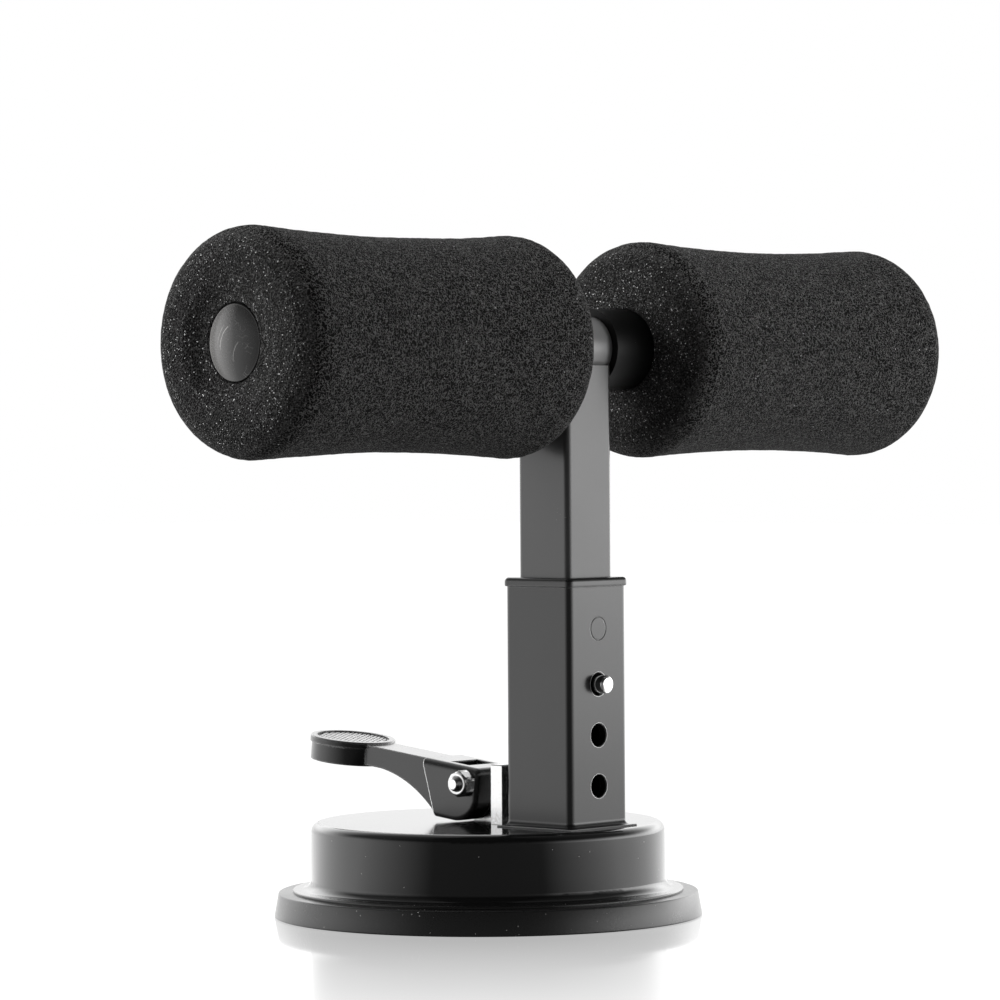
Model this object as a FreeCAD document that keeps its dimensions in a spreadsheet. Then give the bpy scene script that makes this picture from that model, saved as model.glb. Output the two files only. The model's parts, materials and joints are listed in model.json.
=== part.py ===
import FreeCAD, Part
import math
import os
import re

import Sketcher

# Sit-up bar: a suction base with a pedal lever, a square telescopic post with a snap button,
# and a cross bar that carries two foam rollers.
# Frame: origin at the centre of the base's underside, +Z up, the bar along X,
# the snap button towards -Y and the pedal towards +Y. Millimetres and degrees.

SIZES = {
    # suction cup, with the stack of plate and rivet in its hub
    "cup_radius": 72.5,
    "cup_draft": 1.5,
    "cup_height": 8.2,
    "cup_seat": 14.5,
    "cup_shoulder": 17.0,
    "cup_edge": 0.8,
    "dome_height": 9.0,
    "dome_arc": 85.0,
    "membrane": 3.2,
    "hub_radius": 20.0,
    "hub_flare": 2.0,
    "hub_floor": 1.7,
    "hub_cover": 2.2,
    "rubber_gap": 0.3,
    # pull stud and the plate that is riveted to it
    "rivet_radius": 7.0,
    "rivet_height": 1.5,
    "plate_radius": 16.0,
    "plate_thickness": 2.0,
    "neck_radius": 5.0,
    "collar_radius": 6.0,
    "collar_stand": 2.6,
    "eye_radius": 4.1,
    "eye_thickness": 5.0,
    "plate_fit": 0.05,
    # housing
    "housing_top": 31.8,
    "housing_wall_radius": 59.8,
    "housing_draft": 0.5,
    "housing_wall": 3.0,
    "flange_radius": 66.1,
    "flange_height": 1.1,
    "flange_edge": 0.5,
    "flange_root": 3.2,
    "housing_edge": 3.0,
    "rib_floor": 22.0,
    "rib_thickness": 2.0,
    "guide_radius": 11.0,
    "slide_gap": 0.3,
    "merge": 1.0,
    # stop plate behind the post, with the two screws that hold it from below
    "stop_width": 22.0,
    "stop_front": 16.6,
    "stop_thickness": 5.0,
    "stop_rise": 20.2,
    "stop_edge": 0.6,
    "stop_screw_radius": 1.45,
    "stop_screw_spread": 6.0,
    "stop_screw_reach": 9.0,
    "stop_screw_head_radius": 2.8,
    "stop_screw_head": 1.9,
    # lever, measured from its pivot with its heel flat on the housing
    "lever_rest_angle": 6.5,
    "cam_gap": 0.3,
    "heel_distance": 13.6,
    "heel_end": 13.8,
    "toe_distance": 4.7,
    "head_top": 5.4,
    "head_back": 21.7,
    "head_width": 21.4,
    "head_nose": 2.5,
    "head_front_edge": 1.5,
    "head_back_edge": 0.5,
    "arm_width": 13.0,
    "arm_top": 4.9,
    "arm_under": 2.1,
    "arm_arc": 46.0,
    "arm_straight": 44.0,
    "arm_root": 17.6,
    "arm_root_drop": 12.9,
    "pedal_reach": 64.6,
    "pedal_radius": 14.2,
    "pedal_rim_radius": 14.8,
    "pedal_rim_height": 2.2,
    "pedal_under": 2.7,
    "pedal_top": 5.6,
    "pedal_recess_radius": 12.6,
    "pedal_recess": 1.0,
    "pedal_edge": 0.5,
    "tread_height": 0.6,
    "tread_width": 0.9,
    "tread_border": 0.6,
    "well_start": 3.2,
    "well_end": 11.4,
    "well_width": 13.0,
    "well_depth": 6.0,
    # pivot bolt and lock nut
    "bolt_radius": 2.5,
    "bolt_fit": 0.06,
    "bolt_head": 3.5,
    "bolt_end": 1.9,
    "bolt_bevel": 0.5,
    "nut_across": 8.0,
    "nut_height": 4.0,
    "nut_collar": 1.0,
    "nut_collar_radius": 3.5,
    # post sleeve
    "post_y": -35.9,
    "sleeve_side": 28.8,
    "sleeve_corner": 2.1,
    "sleeve_floor": 5.0,
    "sleeve_length": 80.1,
    "lip_height": 3.0,
    "lip_overhang": 0.6,
    "lip_edge": 1.4,
    "lip_under_edge": 0.5,
    "foot_overhang": 2.1,
    "foot_height": 0.5,
    "foot_flare": 1.9,
    "hole_foot": 13.95,
    "hole_radius": 3.75,
    "hole_pitch": 16.9,
    "hole_bevel": 0.35,
    "mark_rise": 66.2,
    "mark_radius": 3.95,
    "mark_width": 0.3,
    "mark_depth": 0.2,
    # screws under the housing
    "screw_radius": 1.95,
    "screw_spread": 8.0,
    "screw_clearance": 0.25,
    "screw_fit": 0.05,
    "screw_end_gap": 0.6,
    "screw_head_radius": 3.6,
    "screw_head": 2.4,
    "washer_radius": 4.8,
    "washer_thickness": 0.8,
    # inner tube and its plug
    "tube_side": 22.4,
    "tube_wall": 1.5,
    "tube_corner": 1.9,
    "tube_fit": 0.2,
    "tube_tail": 7.4,
    "saddle_drop": 5.7,
    "plug_flange": 1.0,
    "plug_inset": 0.3,
    "plug_depth": 3.6,
    "plug_wall": 2.0,
    "weld_gap": 0.05,
    # snap button and its spring
    "button_radius": 3.0,
    "button_stand": 4.3,
    "button_dome": 1.1,
    "button_hole_gap": 0.25,
    "button_neck": 2.0,
    "button_tail_radius": 3.1,
    "button_tail": 0.8,
    "spring_thickness": 0.8,
    "spring_width": 10.0,
    "spring_reach": 34.0,
    "spring_heel": 3.4,
    "spring_fit": 0.1,
    # cross bar, end caps, core sleeves and foam rollers
    "bar_rise": 76.1,
    "bar_offset": 4.7,
    "bar_radius": 10.9,
    "bar_wall": 1.5,
    "roller_gap": 24.9,
    "roller_length": 135.2,
    "roller_radius": 36.7,
    "roller_waist": 34.5,
    "roller_corner": 9.9,
    "core_radius": 13.5,
    "core_fit": 0.1,
    "core_gap": 0.6,
    "cap_radius": 12.3,
    "cap_flange": 1.2,
    "cap_dome": 2.4,
    "cap_recess": 1.2,
    "cap_plug": 8.0,
    "cap_plug_wall": 1.8,
    "cap_fit": 0.05,
    # cutting overrun
    "overrun": 2.0,
}

RIB_COUNT = 8
TREAD_COUNT = 15
TREAD_ANGLE = 30
CAM_POINTS = 9
BUTTON_HOLES = 3
SIDES = {"left": -1, "right": 1}
TOLERANCE = 1e-6

# Places that follow from the sizes.
RIVET_BOTTOM = "(dome_height + hub_floor + rubber_gap)"
PLATE_BOTTOM = f"({RIVET_BOTTOM} + rivet_height)"
PLATE_TOP = f"({PLATE_BOTTOM} + plate_thickness)"
HUB_TOP = f"({PLATE_TOP} + rubber_gap + hub_cover)"
CEILING = "(housing_top - housing_wall)"
CAM_RATE = "((heel_distance - toe_distance) * 2 / pi)"
PIVOT_HEIGHT = f"(housing_top + cam_gap + heel_distance - {CAM_RATE} * lever_rest_angle * pi / 180)"
SLEEVE_BORE = "(tube_side + 2 * tube_fit)"
BAR_HALF = "(roller_gap + roller_length - cap_recess - cap_dome - cap_flange)"
BUTTON_HEIGHT = f"(housing_top + hole_foot + {BUTTON_HOLES - 1} * hole_pitch)"
BAR_HEIGHT = "(housing_top + sleeve_length + lip_height + bar_rise)"
TUBE_BOTTOM = f"({BUTTON_HEIGHT} - tube_tail)"
TUBE_TOP = f"({BAR_HEIGHT} - saddle_drop)"
TUBE_INSIDE = "(tube_side / 2 - tube_wall)"
BUTTON_TIP = "(sleeve_side / 2 + button_stand)"
STOP_MIDDLE = "(stop_thickness / 2 - stop_front)"
POST_SCREWS = [(f"{x} * screw_spread", f"post_y + {y} * screw_spread") for x in (-1, 1) for y in (-1, 1)]
STOP_SCREWS = [(f"{x} * stop_screw_spread", STOP_MIDDLE) for x in (-1, 1)]

doc = FreeCAD.newDocument("sit_up_bar")
sheet = doc.addObject("Spreadsheet::Sheet", "Sizes")
for row, (alias, size) in enumerate(SIZES.items(), start=1):
    sheet.set(f"A{row}", alias)
    sheet.set(f"B{row}", str(size))
    sheet.setAlias(f"B{row}", alias)
doc.recompute()


def value(text):
    """The number that an expression in sheet names stands for."""
    return float(sheet.evalExpression(text))


def linked(text):
    """The same expression, written for an object outside the sheet."""
    return re.sub(r"[a-z_]+", lambda word: "Sizes." + word[0] if word[0] in SIZES else word[0], text)


def bind(item, prop, text):
    item.setExpression(prop, linked(text))


def new_body(name):
    body = doc.addObject("PartDesign::Body", name)
    body.Label = name
    return body


def place(item, x="0", y="0", z="0"):
    """Moves a finished sub-part to a place worked out from the sheet."""
    for axis, text in zip("xyz", (x, y, z)):
        if text != "0":
            bind(item, f"Placement.Base.{axis}", text)


def sketch_on(body, name, plane, lift="0"):
    """A sketch on one of the body's origin planes, lifted along that plane's normal."""
    sketch = body.newObject("Sketcher::SketchObject", name)
    support = [item for item in body.Origin.OriginFeatures if item.Role == plane]
    sketch.AttachmentSupport = [(support[0], "")]
    sketch.MapMode = "FlatFace"
    if lift != "0":
        bind(sketch, "AttachmentOffset.Base.z", lift)
    return sketch


def pin(sketch, geometry, end, x, y):
    """Ties one point of a sketch to two sheet expressions."""
    for text, kind, axis in ((x, "DistanceX", -2), (y, "DistanceY", -1)):
        if text == "0":
            sketch.addConstraint(Sketcher.Constraint("PointOnObject", geometry, end, axis))
        else:
            number = sketch.addConstraint(Sketcher.Constraint(kind, -1, 1, geometry, end, value(text)))
            bind(sketch, f"Constraints[{number}]", text)


def arc_between(start, end, radius, turn):
    """The arc under a half circle from start to end. A left turn has its centre on the left."""
    middle = (start + end) / 2
    along = end - start
    across = FreeCAD.Vector(-along.y, along.x, 0) / along.Length
    rise = math.sqrt(radius**2 - (along.Length / 2) ** 2)
    side = 1 if turn == "left" else -1
    centre = middle + across * rise * side
    first, last = (start, end) if turn == "left" else (end, start)
    angles = [math.atan2(point.y - centre.y, point.x - centre.x) for point in (first, last)]
    circle_shape = Part.Circle(centre, FreeCAD.Vector(0, 0, 1), radius)
    return Part.ArcOfCircle(circle_shape, angles[0], angles[1])


def outline(sketch, corners):
    """A closed outline. A corner is (x, y), or (x, y, radius, turn) where an arc leaves it."""
    points = [FreeCAD.Vector(value(corner[0]), value(corner[1]), 0) for corner in corners]
    ends = []
    for number, corner in enumerate(corners):
        start = points[number]
        end = points[(number + 1) % len(points)]
        if len(corner) == 2:
            geometry = sketch.addGeometry(Part.LineSegment(start, end), False)
            ends.append((geometry, 1, 2))
        else:
            geometry = sketch.addGeometry(arc_between(start, end, value(corner[2]), corner[3]), False)
            ends.append((geometry, 1, 2) if corner[3] == "left" else (geometry, 2, 1))
            index = sketch.addConstraint(Sketcher.Constraint("Radius", geometry, value(corner[2])))
            bind(sketch, f"Constraints[{index}]", corner[2])
    for number, (geometry, first, _) in enumerate(ends):
        before, _, last = ends[number - 1]
        sketch.addConstraint(Sketcher.Constraint("Coincident", before, last, geometry, first))
        pin(sketch, geometry, first, corners[number][0], corners[number][1])


def rectangle(sketch, left, bottom, right, top):
    outline(sketch, [(left, bottom), (right, bottom), (right, top), (left, top)])


def square(sketch, side):
    rectangle(sketch, f"-({side}) / 2", f"-({side}) / 2", f"({side}) / 2", f"({side}) / 2")


def circle(sketch, x, y, radius):
    centre = FreeCAD.Vector(value(x), value(y), 0)
    geometry = sketch.addGeometry(Part.Circle(centre, FreeCAD.Vector(0, 0, 1), value(radius)), False)
    pin(sketch, geometry, 3, x, y)
    number = sketch.addConstraint(Sketcher.Constraint("Radius", geometry, value(radius)))
    bind(sketch, f"Constraints[{number}]", radius)


def extrude(kind, body, name, sketch, length, flipped=False, both_ways=False):
    feature = body.newObject(kind, name)
    feature.Profile = sketch
    feature.Reversed = flipped
    if both_ways:
        feature.SideType = "Symmetric"
    bind(feature, "Length", length)
    return feature


def pad(body, name, sketch, length, **options):
    return extrude("PartDesign::Pad", body, name, sketch, length, **options)


def pocket(body, name, sketch, length, **options):
    """A pocket that must take something away."""
    doc.recompute()
    before = body.Shape.Volume
    feature = extrude("PartDesign::Pocket", body, name, sketch, length, **options)
    doc.recompute()
    if not body.Shape.Volume < before:
        raise ValueError(f"{name} cuts nothing")
    return feature


def revolve(body, name, sketch, axis):
    feature = body.newObject("PartDesign::Revolution", name)
    feature.Profile = sketch
    feature.ReferenceAxis = (sketch, [axis])
    return feature


def dress(kind, body, name, base, prop, size, test):
    """A fillet or chamfer on the edges of base that pass the test."""
    doc.recompute()
    chosen = [f"Edge{number}" for number, edge in enumerate(base.Shape.Edges, start=1) if test(edge)]
    if not chosen:
        raise ValueError(f"{name} finds no edge")
    feature = body.newObject(kind, name)
    feature.Base = (base, chosen)
    bind(feature, prop, size)
    return feature


def fillet(body, name, base, radius, test):
    return dress("PartDesign::Fillet", body, name, base, "Radius", radius, test)


def chamfer(body, name, base, size, test):
    return dress("PartDesign::Chamfer", body, name, base, "Size", size, test)


def near(first, second):
    return math.isclose(first, second, abs_tol=TOLERANCE)


def ring_at(edge, radius, height):
    """True for a full circle round Z with this radius at this height."""
    if edge.Degenerated or len(edge.Vertexes) > 1 or not isinstance(edge.Curve, Part.Circle):
        return False
    return near(edge.Curve.Radius, value(radius)) and near(edge.Curve.Center.z, value(height))


def upright(edge, half, top):
    """True for a straight upright edge on the corner of a square of this half side."""
    ends = [vertex.Point for vertex in edge.Vertexes]
    if len(ends) != 2 or not near(ends[0].x, ends[1].x) or not near(ends[0].y, ends[1].y):
        return False
    at_corner = near(abs(ends[0].x), value(half)) and near(abs(ends[0].y), value(half))
    return at_corner and near(max(ends[0].z, ends[1].z), value(top))


def all_at_height(edge, height):
    return all(near(vertex.Point.z, value(height)) for vertex in edge.Vertexes)


def make_suction_cup():
    """Moulded rubber cup: seat ring, domed membrane, and a hub moulded round the stud's plate."""
    body = new_body("suction_cup")
    profile = sketch_on(body, "CupProfile", "XZ_Plane")
    under = "(cup_radius - cup_seat)"
    outline(
        profile,
        [
            ("0", "dome_height"),
            ("hub_radius", "dome_height", "dome_arc", "right"),
            (under, "0"),
            ("cup_radius", "0"),
            ("cup_radius - cup_draft", "cup_height"),
            ("cup_radius - cup_shoulder", "cup_height", "dome_arc", "left"),
            ("hub_radius + hub_flare", "dome_height + membrane"),
            ("hub_radius", HUB_TOP),
            ("collar_radius + rubber_gap", HUB_TOP),
            ("collar_radius + rubber_gap", f"{PLATE_TOP} + rubber_gap"),
            ("plate_radius + rubber_gap", f"{PLATE_TOP} + rubber_gap"),
            ("plate_radius + rubber_gap", f"{PLATE_BOTTOM} - rubber_gap"),
            ("rivet_radius + rubber_gap", f"{PLATE_BOTTOM} - rubber_gap"),
            ("rivet_radius + rubber_gap", "dome_height + hub_floor"),
            ("0", "dome_height + hub_floor"),
        ],
    )
    cup = revolve(body, "CupRing", profile, "V_Axis")
    brim = "(cup_radius - cup_draft)"
    body.Tip = fillet(body, "CupEdge", cup, "cup_edge", lambda e: ring_at(e, brim, "cup_height"))
    return body


def make_stud_plate():
    """Steel disc riveted to the stud inside the rubber hub."""
    body = new_body("stud_plate")
    disc = sketch_on(body, "PlateDisc", "XY_Plane", PLATE_BOTTOM)
    circle(disc, "0", "0", "plate_radius")
    circle(disc, "0", "0", "neck_radius + plate_fit")
    pad(body, "PlatePad", disc, "plate_thickness")
    return body


def make_pull_stud():
    """Turned shank with a flat eye, which the lever lifts."""
    body = new_body("pull_stud")
    profile = sketch_on(body, "ShankProfile", "XZ_Plane")
    collar_top = f"({HUB_TOP} + collar_stand)"
    outline(
        profile,
        [
            ("0", RIVET_BOTTOM),
            ("rivet_radius", RIVET_BOTTOM),
            ("rivet_radius", PLATE_BOTTOM),
            ("neck_radius", PLATE_BOTTOM),
            ("neck_radius", PLATE_TOP),
            ("collar_radius", PLATE_TOP),
            ("collar_radius", collar_top),
            ("0", collar_top),
        ],
    )
    revolve(body, "Shank", profile, "V_Axis")
    bar = sketch_on(body, "EyeProfile", "YZ_Plane")
    outline(
        bar,
        [
            ("-eye_radius", HUB_TOP),
            ("eye_radius", HUB_TOP),
            ("eye_radius", PIVOT_HEIGHT, "eye_radius", "left"),
            ("0", f"{PIVOT_HEIGHT} + eye_radius", "eye_radius", "left"),
            ("-eye_radius", PIVOT_HEIGHT),
        ],
    )
    pad(body, "EyeBar", bar, "eye_thickness", both_ways=True)
    bore = sketch_on(body, "EyeBore", "YZ_Plane")
    circle(bore, "0", PIVOT_HEIGHT, "bolt_radius + bolt_fit")
    body.Tip = pocket(body, "EyeHole", bore, "eye_thickness + overrun", both_ways=True)
    return body


def make_base_housing():
    """Moulded housing: drafted round shell with flange, ribs and stud guide."""
    body = new_body("base_housing")
    profile = sketch_on(body, "ShellProfile", "XZ_Plane")
    flange_top = "(cup_height + flange_height)"
    foot_radius = "(housing_wall_radius + housing_draft)"
    outline(
        profile,
        [
            ("0", CEILING),
            ("housing_wall_radius - housing_wall", CEILING),
            ("housing_wall_radius - housing_wall", "cup_height"),
            ("flange_radius", "cup_height"),
            ("flange_radius", flange_top),
            (foot_radius, flange_top),
            ("housing_wall_radius", "housing_top"),
            ("0", "housing_top"),
        ],
    )
    shell = revolve(body, "Shell", profile, "V_Axis")
    for name, size, radius, height in (
        ("TopEdge", "housing_edge", "housing_wall_radius", "housing_top"),
        ("FlangeRoot", "flange_root", foot_radius, flange_top),
        ("FlangeEdge", "flange_edge", "flange_radius", flange_top),
    ):
        shell = fillet(body, name, shell, size, lambda e: ring_at(e, radius, height))
    guide = sketch_on(body, "GuideCircle", "XY_Plane", "rib_floor")
    circle(guide, "0", "0", "guide_radius")
    pad(body, "Guide", guide, f"{CEILING} + merge - rib_floor")
    rib_face = sketch_on(body, "RibFace", "XZ_Plane")
    rectangle(
        rib_face,
        "guide_radius - merge",
        "rib_floor",
        "housing_wall_radius - housing_wall + merge",
        f"{CEILING} + merge",
    )
    rib = pad(body, "Rib", rib_face, "rib_thickness", both_ways=True)
    ribs = body.newObject("PartDesign::PolarPattern", "Ribs")
    ribs.Originals = [rib]
    ribs.Axis = (guide, ["N_Axis"])
    ribs.Angle = 360
    ribs.Occurrences = RIB_COUNT
    body.Tip = ribs
    slot = sketch_on(body, "StudSlot", "XY_Plane", "rib_floor - overrun")
    wide = "(eye_thickness / 2 + slide_gap)"
    deep = "(eye_radius + slide_gap)"
    rectangle(slot, f"-{wide}", f"-{deep}", wide, deep)
    pocket(body, "StudWay", slot, "housing_top - rib_floor + 2 * overrun", flipped=True)
    holes = sketch_on(body, "ScrewCircles", "XY_Plane", "rib_floor")
    for x, y in POST_SCREWS:
        circle(holes, x, y, "screw_radius + screw_clearance")
    for x, y in STOP_SCREWS:
        circle(holes, x, y, "stop_screw_radius + screw_clearance")
    body.Tip = pocket(body, "ScrewHoles", holes, "housing_top - rib_floor + overrun", flipped=True)
    return body


def make_stop_plate():
    """Upright steel block between the lever's head and the post, with two tapped holes below."""
    body = new_body("stop_plate")
    plan = sketch_on(body, "StopPlan", "XY_Plane", "housing_top")
    rectangle(plan, "-stop_width / 2", "-stop_front", "stop_width / 2", "stop_thickness - stop_front")
    block = pad(body, "StopBlock", plan, "stop_rise")
    fillet(body, "StopEdge", block, "stop_edge", lambda e: all_at_height(e, "housing_top + stop_rise"))
    taps = sketch_on(body, "StopTaps", "XY_Plane", "housing_top")
    for x, y in STOP_SCREWS:
        circle(taps, x, y, "stop_screw_radius + screw_fit")
    body.Tip = pocket(body, "StopTapHoles", taps, "stop_screw_reach + screw_end_gap", flipped=True)
    return body


def make_post_sleeve():
    """Outer square of the post, in the post's own frame: floor, foot, lip, holes and mould mark."""
    body = new_body("post_sleeve")
    height = "sleeve_length"
    half = "(sleeve_side / 2)"
    plan = sketch_on(body, "SleevePlan", "XY_Plane")
    square(plan, "sleeve_side")
    wall = pad(body, "SleeveWall", plan, height)
    fillet(body, "SleeveCorners", wall, "sleeve_corner", lambda e: upright(e, half, height))
    foot_plan = sketch_on(body, "FootPlan", "XY_Plane")
    square(foot_plan, "sleeve_side + 2 * foot_overhang")
    foot = pad(body, "Foot", foot_plan, "foot_height")
    fillet(body, "FootFlare", foot, "foot_flare", lambda e: is_level_edge(e, half, "foot_height"))
    lip_plan = sketch_on(body, "LipPlan", "XY_Plane", height)
    square(lip_plan, "sleeve_side + 2 * lip_overhang")
    lip = pad(body, "Lip", lip_plan, "lip_height")
    lip_half = "(sleeve_side / 2 + lip_overhang)"
    lip_top = f"({height} + lip_height)"
    corners = fillet(body, "LipCorners", lip, "sleeve_corner", lambda e: upright(e, lip_half, lip_top))
    edge = fillet(body, "LipEdge", corners, "lip_edge", lambda e: all_at_height(e, lip_top))
    fillet(body, "LipUnderEdge", edge, "lip_under_edge", lambda e: is_level_edge(e, lip_half, height))
    bore = sketch_on(body, "BorePlan", "XY_Plane", lip_top)
    square(bore, SLEEVE_BORE)
    cavity = pocket(body, "Bore", bore, f"{lip_top} - sleeve_floor")
    fillet(
        body,
        "BoreCorners",
        cavity,
        "tube_corner - tube_fit",
        lambda e: upright(e, f"{SLEEVE_BORE} / 2", lip_top),
    )
    face = sketch_on(body, "ButtonCircles", "XZ_Plane")
    for number in range(BUTTON_HOLES):
        circle(face, "0", f"hole_foot + {number} * hole_pitch", "hole_radius")
    holes = pocket(body, "ButtonHoles", face, "sleeve_side / 2 + overrun", flipped=True)
    front = "-sleeve_side / 2"
    chamfer(body, "HoleRims", holes, "hole_bevel", lambda e: is_front_rim(e, "hole_radius", front))
    mark = sketch_on(body, "MarkCircles", "XZ_Plane", "sleeve_side / 2 - mark_depth")
    circle(mark, "0", "mark_rise", "mark_radius")
    circle(mark, "0", "mark_rise", "mark_radius - mark_width")
    pocket(body, "MouldMark", mark, "overrun", flipped=True)
    pilots = sketch_on(body, "PilotCircles", "XY_Plane")
    for x in (-1, 1):
        for y in (-1, 1):
            circle(pilots, f"{x} * screw_spread", f"{y} * screw_spread", "screw_radius + screw_fit")
    body.Tip = pocket(body, "Pilots", pilots, "sleeve_floor - screw_end_gap + screw_fit", flipped=True)
    place(body, y="post_y", z="housing_top")
    return body


def is_level_edge(edge, half, height):
    """True for an edge at this height whose farthest end is on a square of this half side."""
    reach = max(max(abs(vertex.Point.x), abs(vertex.Point.y)) for vertex in edge.Vertexes)
    return all_at_height(edge, height) and near(reach, value(half))


def is_front_rim(edge, radius, depth):
    """True for a full circle round Y with this radius on this face."""
    curve = edge.Curve
    if not isinstance(curve, Part.Circle):
        return False
    return near(curve.Radius, value(radius)) and near(curve.Center.y, value(depth))


def make_fasteners(name, places, profile):
    """Turned fasteners as one group: the profile is (radius, height) from the axis outwards."""
    points = [FreeCAD.Vector(value(radius), 0, value(height)) for radius, height in profile]
    turned = Part.Face(Part.makePolygon(points + points[:1]))
    solid = turned.revolve(FreeCAD.Vector(), FreeCAD.Vector(0, 0, 1), 360)
    copies = []
    for x, y in places:
        copy = solid.copy()
        copy.translate(FreeCAD.Vector(value(x), value(y), 0))
        copies.append(copy)
    group = doc.addObject("Part::Feature", name)
    group.Label = name
    group.Shape = Part.makeCompound(copies)
    return group


def make_post_screws():
    """Pan head screws that hold the sleeve's floor to the housing."""
    under_head = f"({CEILING} - washer_thickness)"
    head_bottom = f"({under_head} - screw_head)"
    return make_fasteners(
        "post_screws",
        POST_SCREWS,
        [
            ("0", head_bottom),
            ("screw_head_radius - screw_head / 3", head_bottom),
            ("screw_head_radius", f"{head_bottom} + screw_head / 2"),
            ("screw_head_radius", under_head),
            ("screw_radius", under_head),
            ("screw_radius", "housing_top + sleeve_floor - screw_end_gap - screw_radius / 2"),
            ("screw_radius / 2", "housing_top + sleeve_floor - screw_end_gap"),
            ("0", "housing_top + sleeve_floor - screw_end_gap"),
        ],
    )


def make_screw_washers():
    """Flat washers under the screw heads."""
    inside = "(screw_radius + screw_clearance)"
    return make_fasteners(
        "screw_washers",
        POST_SCREWS,
        [
            (inside, f"{CEILING} - washer_thickness"),
            ("washer_radius", f"{CEILING} - washer_thickness"),
            ("washer_radius", CEILING),
            (inside, CEILING),
        ],
    )


def make_stop_screws():
    """Pan head screws from under the housing into the stop plate."""
    end = "(housing_top + stop_screw_reach)"
    return make_fasteners(
        "stop_screws",
        STOP_SCREWS,
        [
            ("0", f"{CEILING} - stop_screw_head"),
            ("stop_screw_head_radius - stop_screw_head / 3", f"{CEILING} - stop_screw_head"),
            ("stop_screw_head_radius", f"{CEILING} - stop_screw_head / 2"),
            ("stop_screw_head_radius", CEILING),
            ("stop_screw_radius", CEILING),
            ("stop_screw_radius", f"{end} - stop_screw_radius / 2"),
            ("stop_screw_radius / 2", end),
            ("0", end),
        ],
    )


def make_inner_tube():
    """Inner square tube, in the post's own frame, with the bar's saddle and the button's hole."""
    body = new_body("inner_tube")
    bottom = f"({TUBE_BOTTOM} - housing_top)"
    top = f"({TUBE_TOP} - housing_top)"
    length = f"{TUBE_TOP} - {TUBE_BOTTOM}"
    plan = sketch_on(body, "TubePlan", "XY_Plane", bottom)
    square(plan, "tube_side")
    wall = pad(body, "TubeWall", plan, length)
    fillet(body, "TubeCorners", wall, "tube_corner", lambda e: upright(e, "tube_side / 2", top))
    inside = sketch_on(body, "InsidePlan", "XY_Plane", f"{top} + overrun")
    square(inside, "tube_side - 2 * tube_wall")
    pocket(body, "TubeInside", inside, f"{length} + 2 * overrun")
    saddle = sketch_on(body, "SaddleCircle", "YZ_Plane")
    circle(saddle, "0", f"{BAR_HEIGHT} - housing_top", "bar_radius + weld_gap")
    pocket(body, "Saddle", saddle, "tube_side + overrun", both_ways=True)
    face = sketch_on(body, "TubeButtonCircle", "XZ_Plane")
    circle(face, "0", f"{BUTTON_HEIGHT} - housing_top", "button_radius + button_hole_gap")
    body.Tip = pocket(body, "TubeButtonHole", face, "tube_side / 2 + overrun", flipped=True)
    place(body, y="post_y", z="housing_top")
    return body


def make_tube_plug():
    """Plastic plug in the inner tube's lower end: a thin flange and a hollow spigot."""
    body = new_body("tube_plug")
    bottom = f"({TUBE_BOTTOM} - housing_top)"
    flange_plan = sketch_on(body, "PlugFlangePlan", "XY_Plane", f"{bottom} - plug_flange")
    square(flange_plan, "tube_side - 2 * plug_inset")
    flange = pad(body, "PlugFlange", flange_plan, "plug_flange")
    half = "(tube_side / 2 - plug_inset)"
    fillet(body, "PlugCorners", flange, "tube_corner", lambda e: upright(e, half, bottom))
    spigot_plan = sketch_on(body, "SpigotPlan", "XY_Plane", bottom)
    square(spigot_plan, "tube_side - 2 * tube_wall")
    pad(body, "Spigot", spigot_plan, "plug_depth")
    hollow = sketch_on(body, "SpigotHollow", "XY_Plane", f"{bottom} + plug_depth")
    square(hollow, "tube_side - 2 * tube_wall - 2 * plug_wall")
    body.Tip = pocket(body, "Hollow", hollow, "plug_depth")
    place(body, y="post_y", z="housing_top")
    return body


def make_snap_button():
    """Domed steel button with a neck and tail that rivet it to the spring, along Y."""
    body = new_body("snap_button")
    profile = sketch_on(body, "ButtonProfile", "XY_Plane")
    shoulder = f"-({TUBE_INSIDE} + spring_fit)"
    back = f"-({TUBE_INSIDE} - spring_thickness - spring_fit)"
    outline(
        profile,
        [
            ("0", f"-{BUTTON_TIP}"),
            ("button_radius - button_dome", f"-{BUTTON_TIP}", "button_dome", "left"),
            ("button_radius", f"-{BUTTON_TIP} + button_dome"),
            ("button_radius", shoulder),
            ("button_neck", shoulder),
            ("button_neck", back),
            ("button_tail_radius", back),
            ("button_tail_radius", f"{back} + button_tail"),
            ("0", f"{back} + button_tail"),
        ],
    )
    body.Tip = revolve(body, "Button", profile, "V_Axis")
    place(body, y="post_y", z=BUTTON_HEIGHT)
    return body


def make_button_spring():
    """Bent strip spring inside the inner tube, which carries the button on one leg."""
    body = new_body("button_spring")
    profile = sketch_on(body, "SpringProfile", "YZ_Plane")
    outer = f"({TUBE_INSIDE} - spring_fit / 2)"
    inner = f"({outer} - spring_thickness)"
    outline(
        profile,
        [
            (f"-{outer}", "-spring_heel"),
            (f"-{inner}", "-spring_heel"),
            (f"-{inner}", "spring_reach", inner, "right"),
            ("0", f"spring_reach + {inner}", inner, "right"),
            (inner, "spring_reach"),
            (inner, "spring_heel"),
            (outer, "spring_heel"),
            (outer, "spring_reach", outer, "left"),
            ("0", f"spring_reach + {outer}", outer, "left"),
            (f"-{outer}", "spring_reach"),
        ],
    )
    pad(body, "SpringStrip", profile, "spring_width", both_ways=True)
    hole = sketch_on(body, "NeckCircle", "XZ_Plane")
    circle(hole, "0", "0", "button_neck + spring_fit")
    body.Tip = pocket(body, "NeckHole", hole, "tube_side", flipped=True)
    place(body, y="post_y", z=BUTTON_HEIGHT)
    return body


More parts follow.
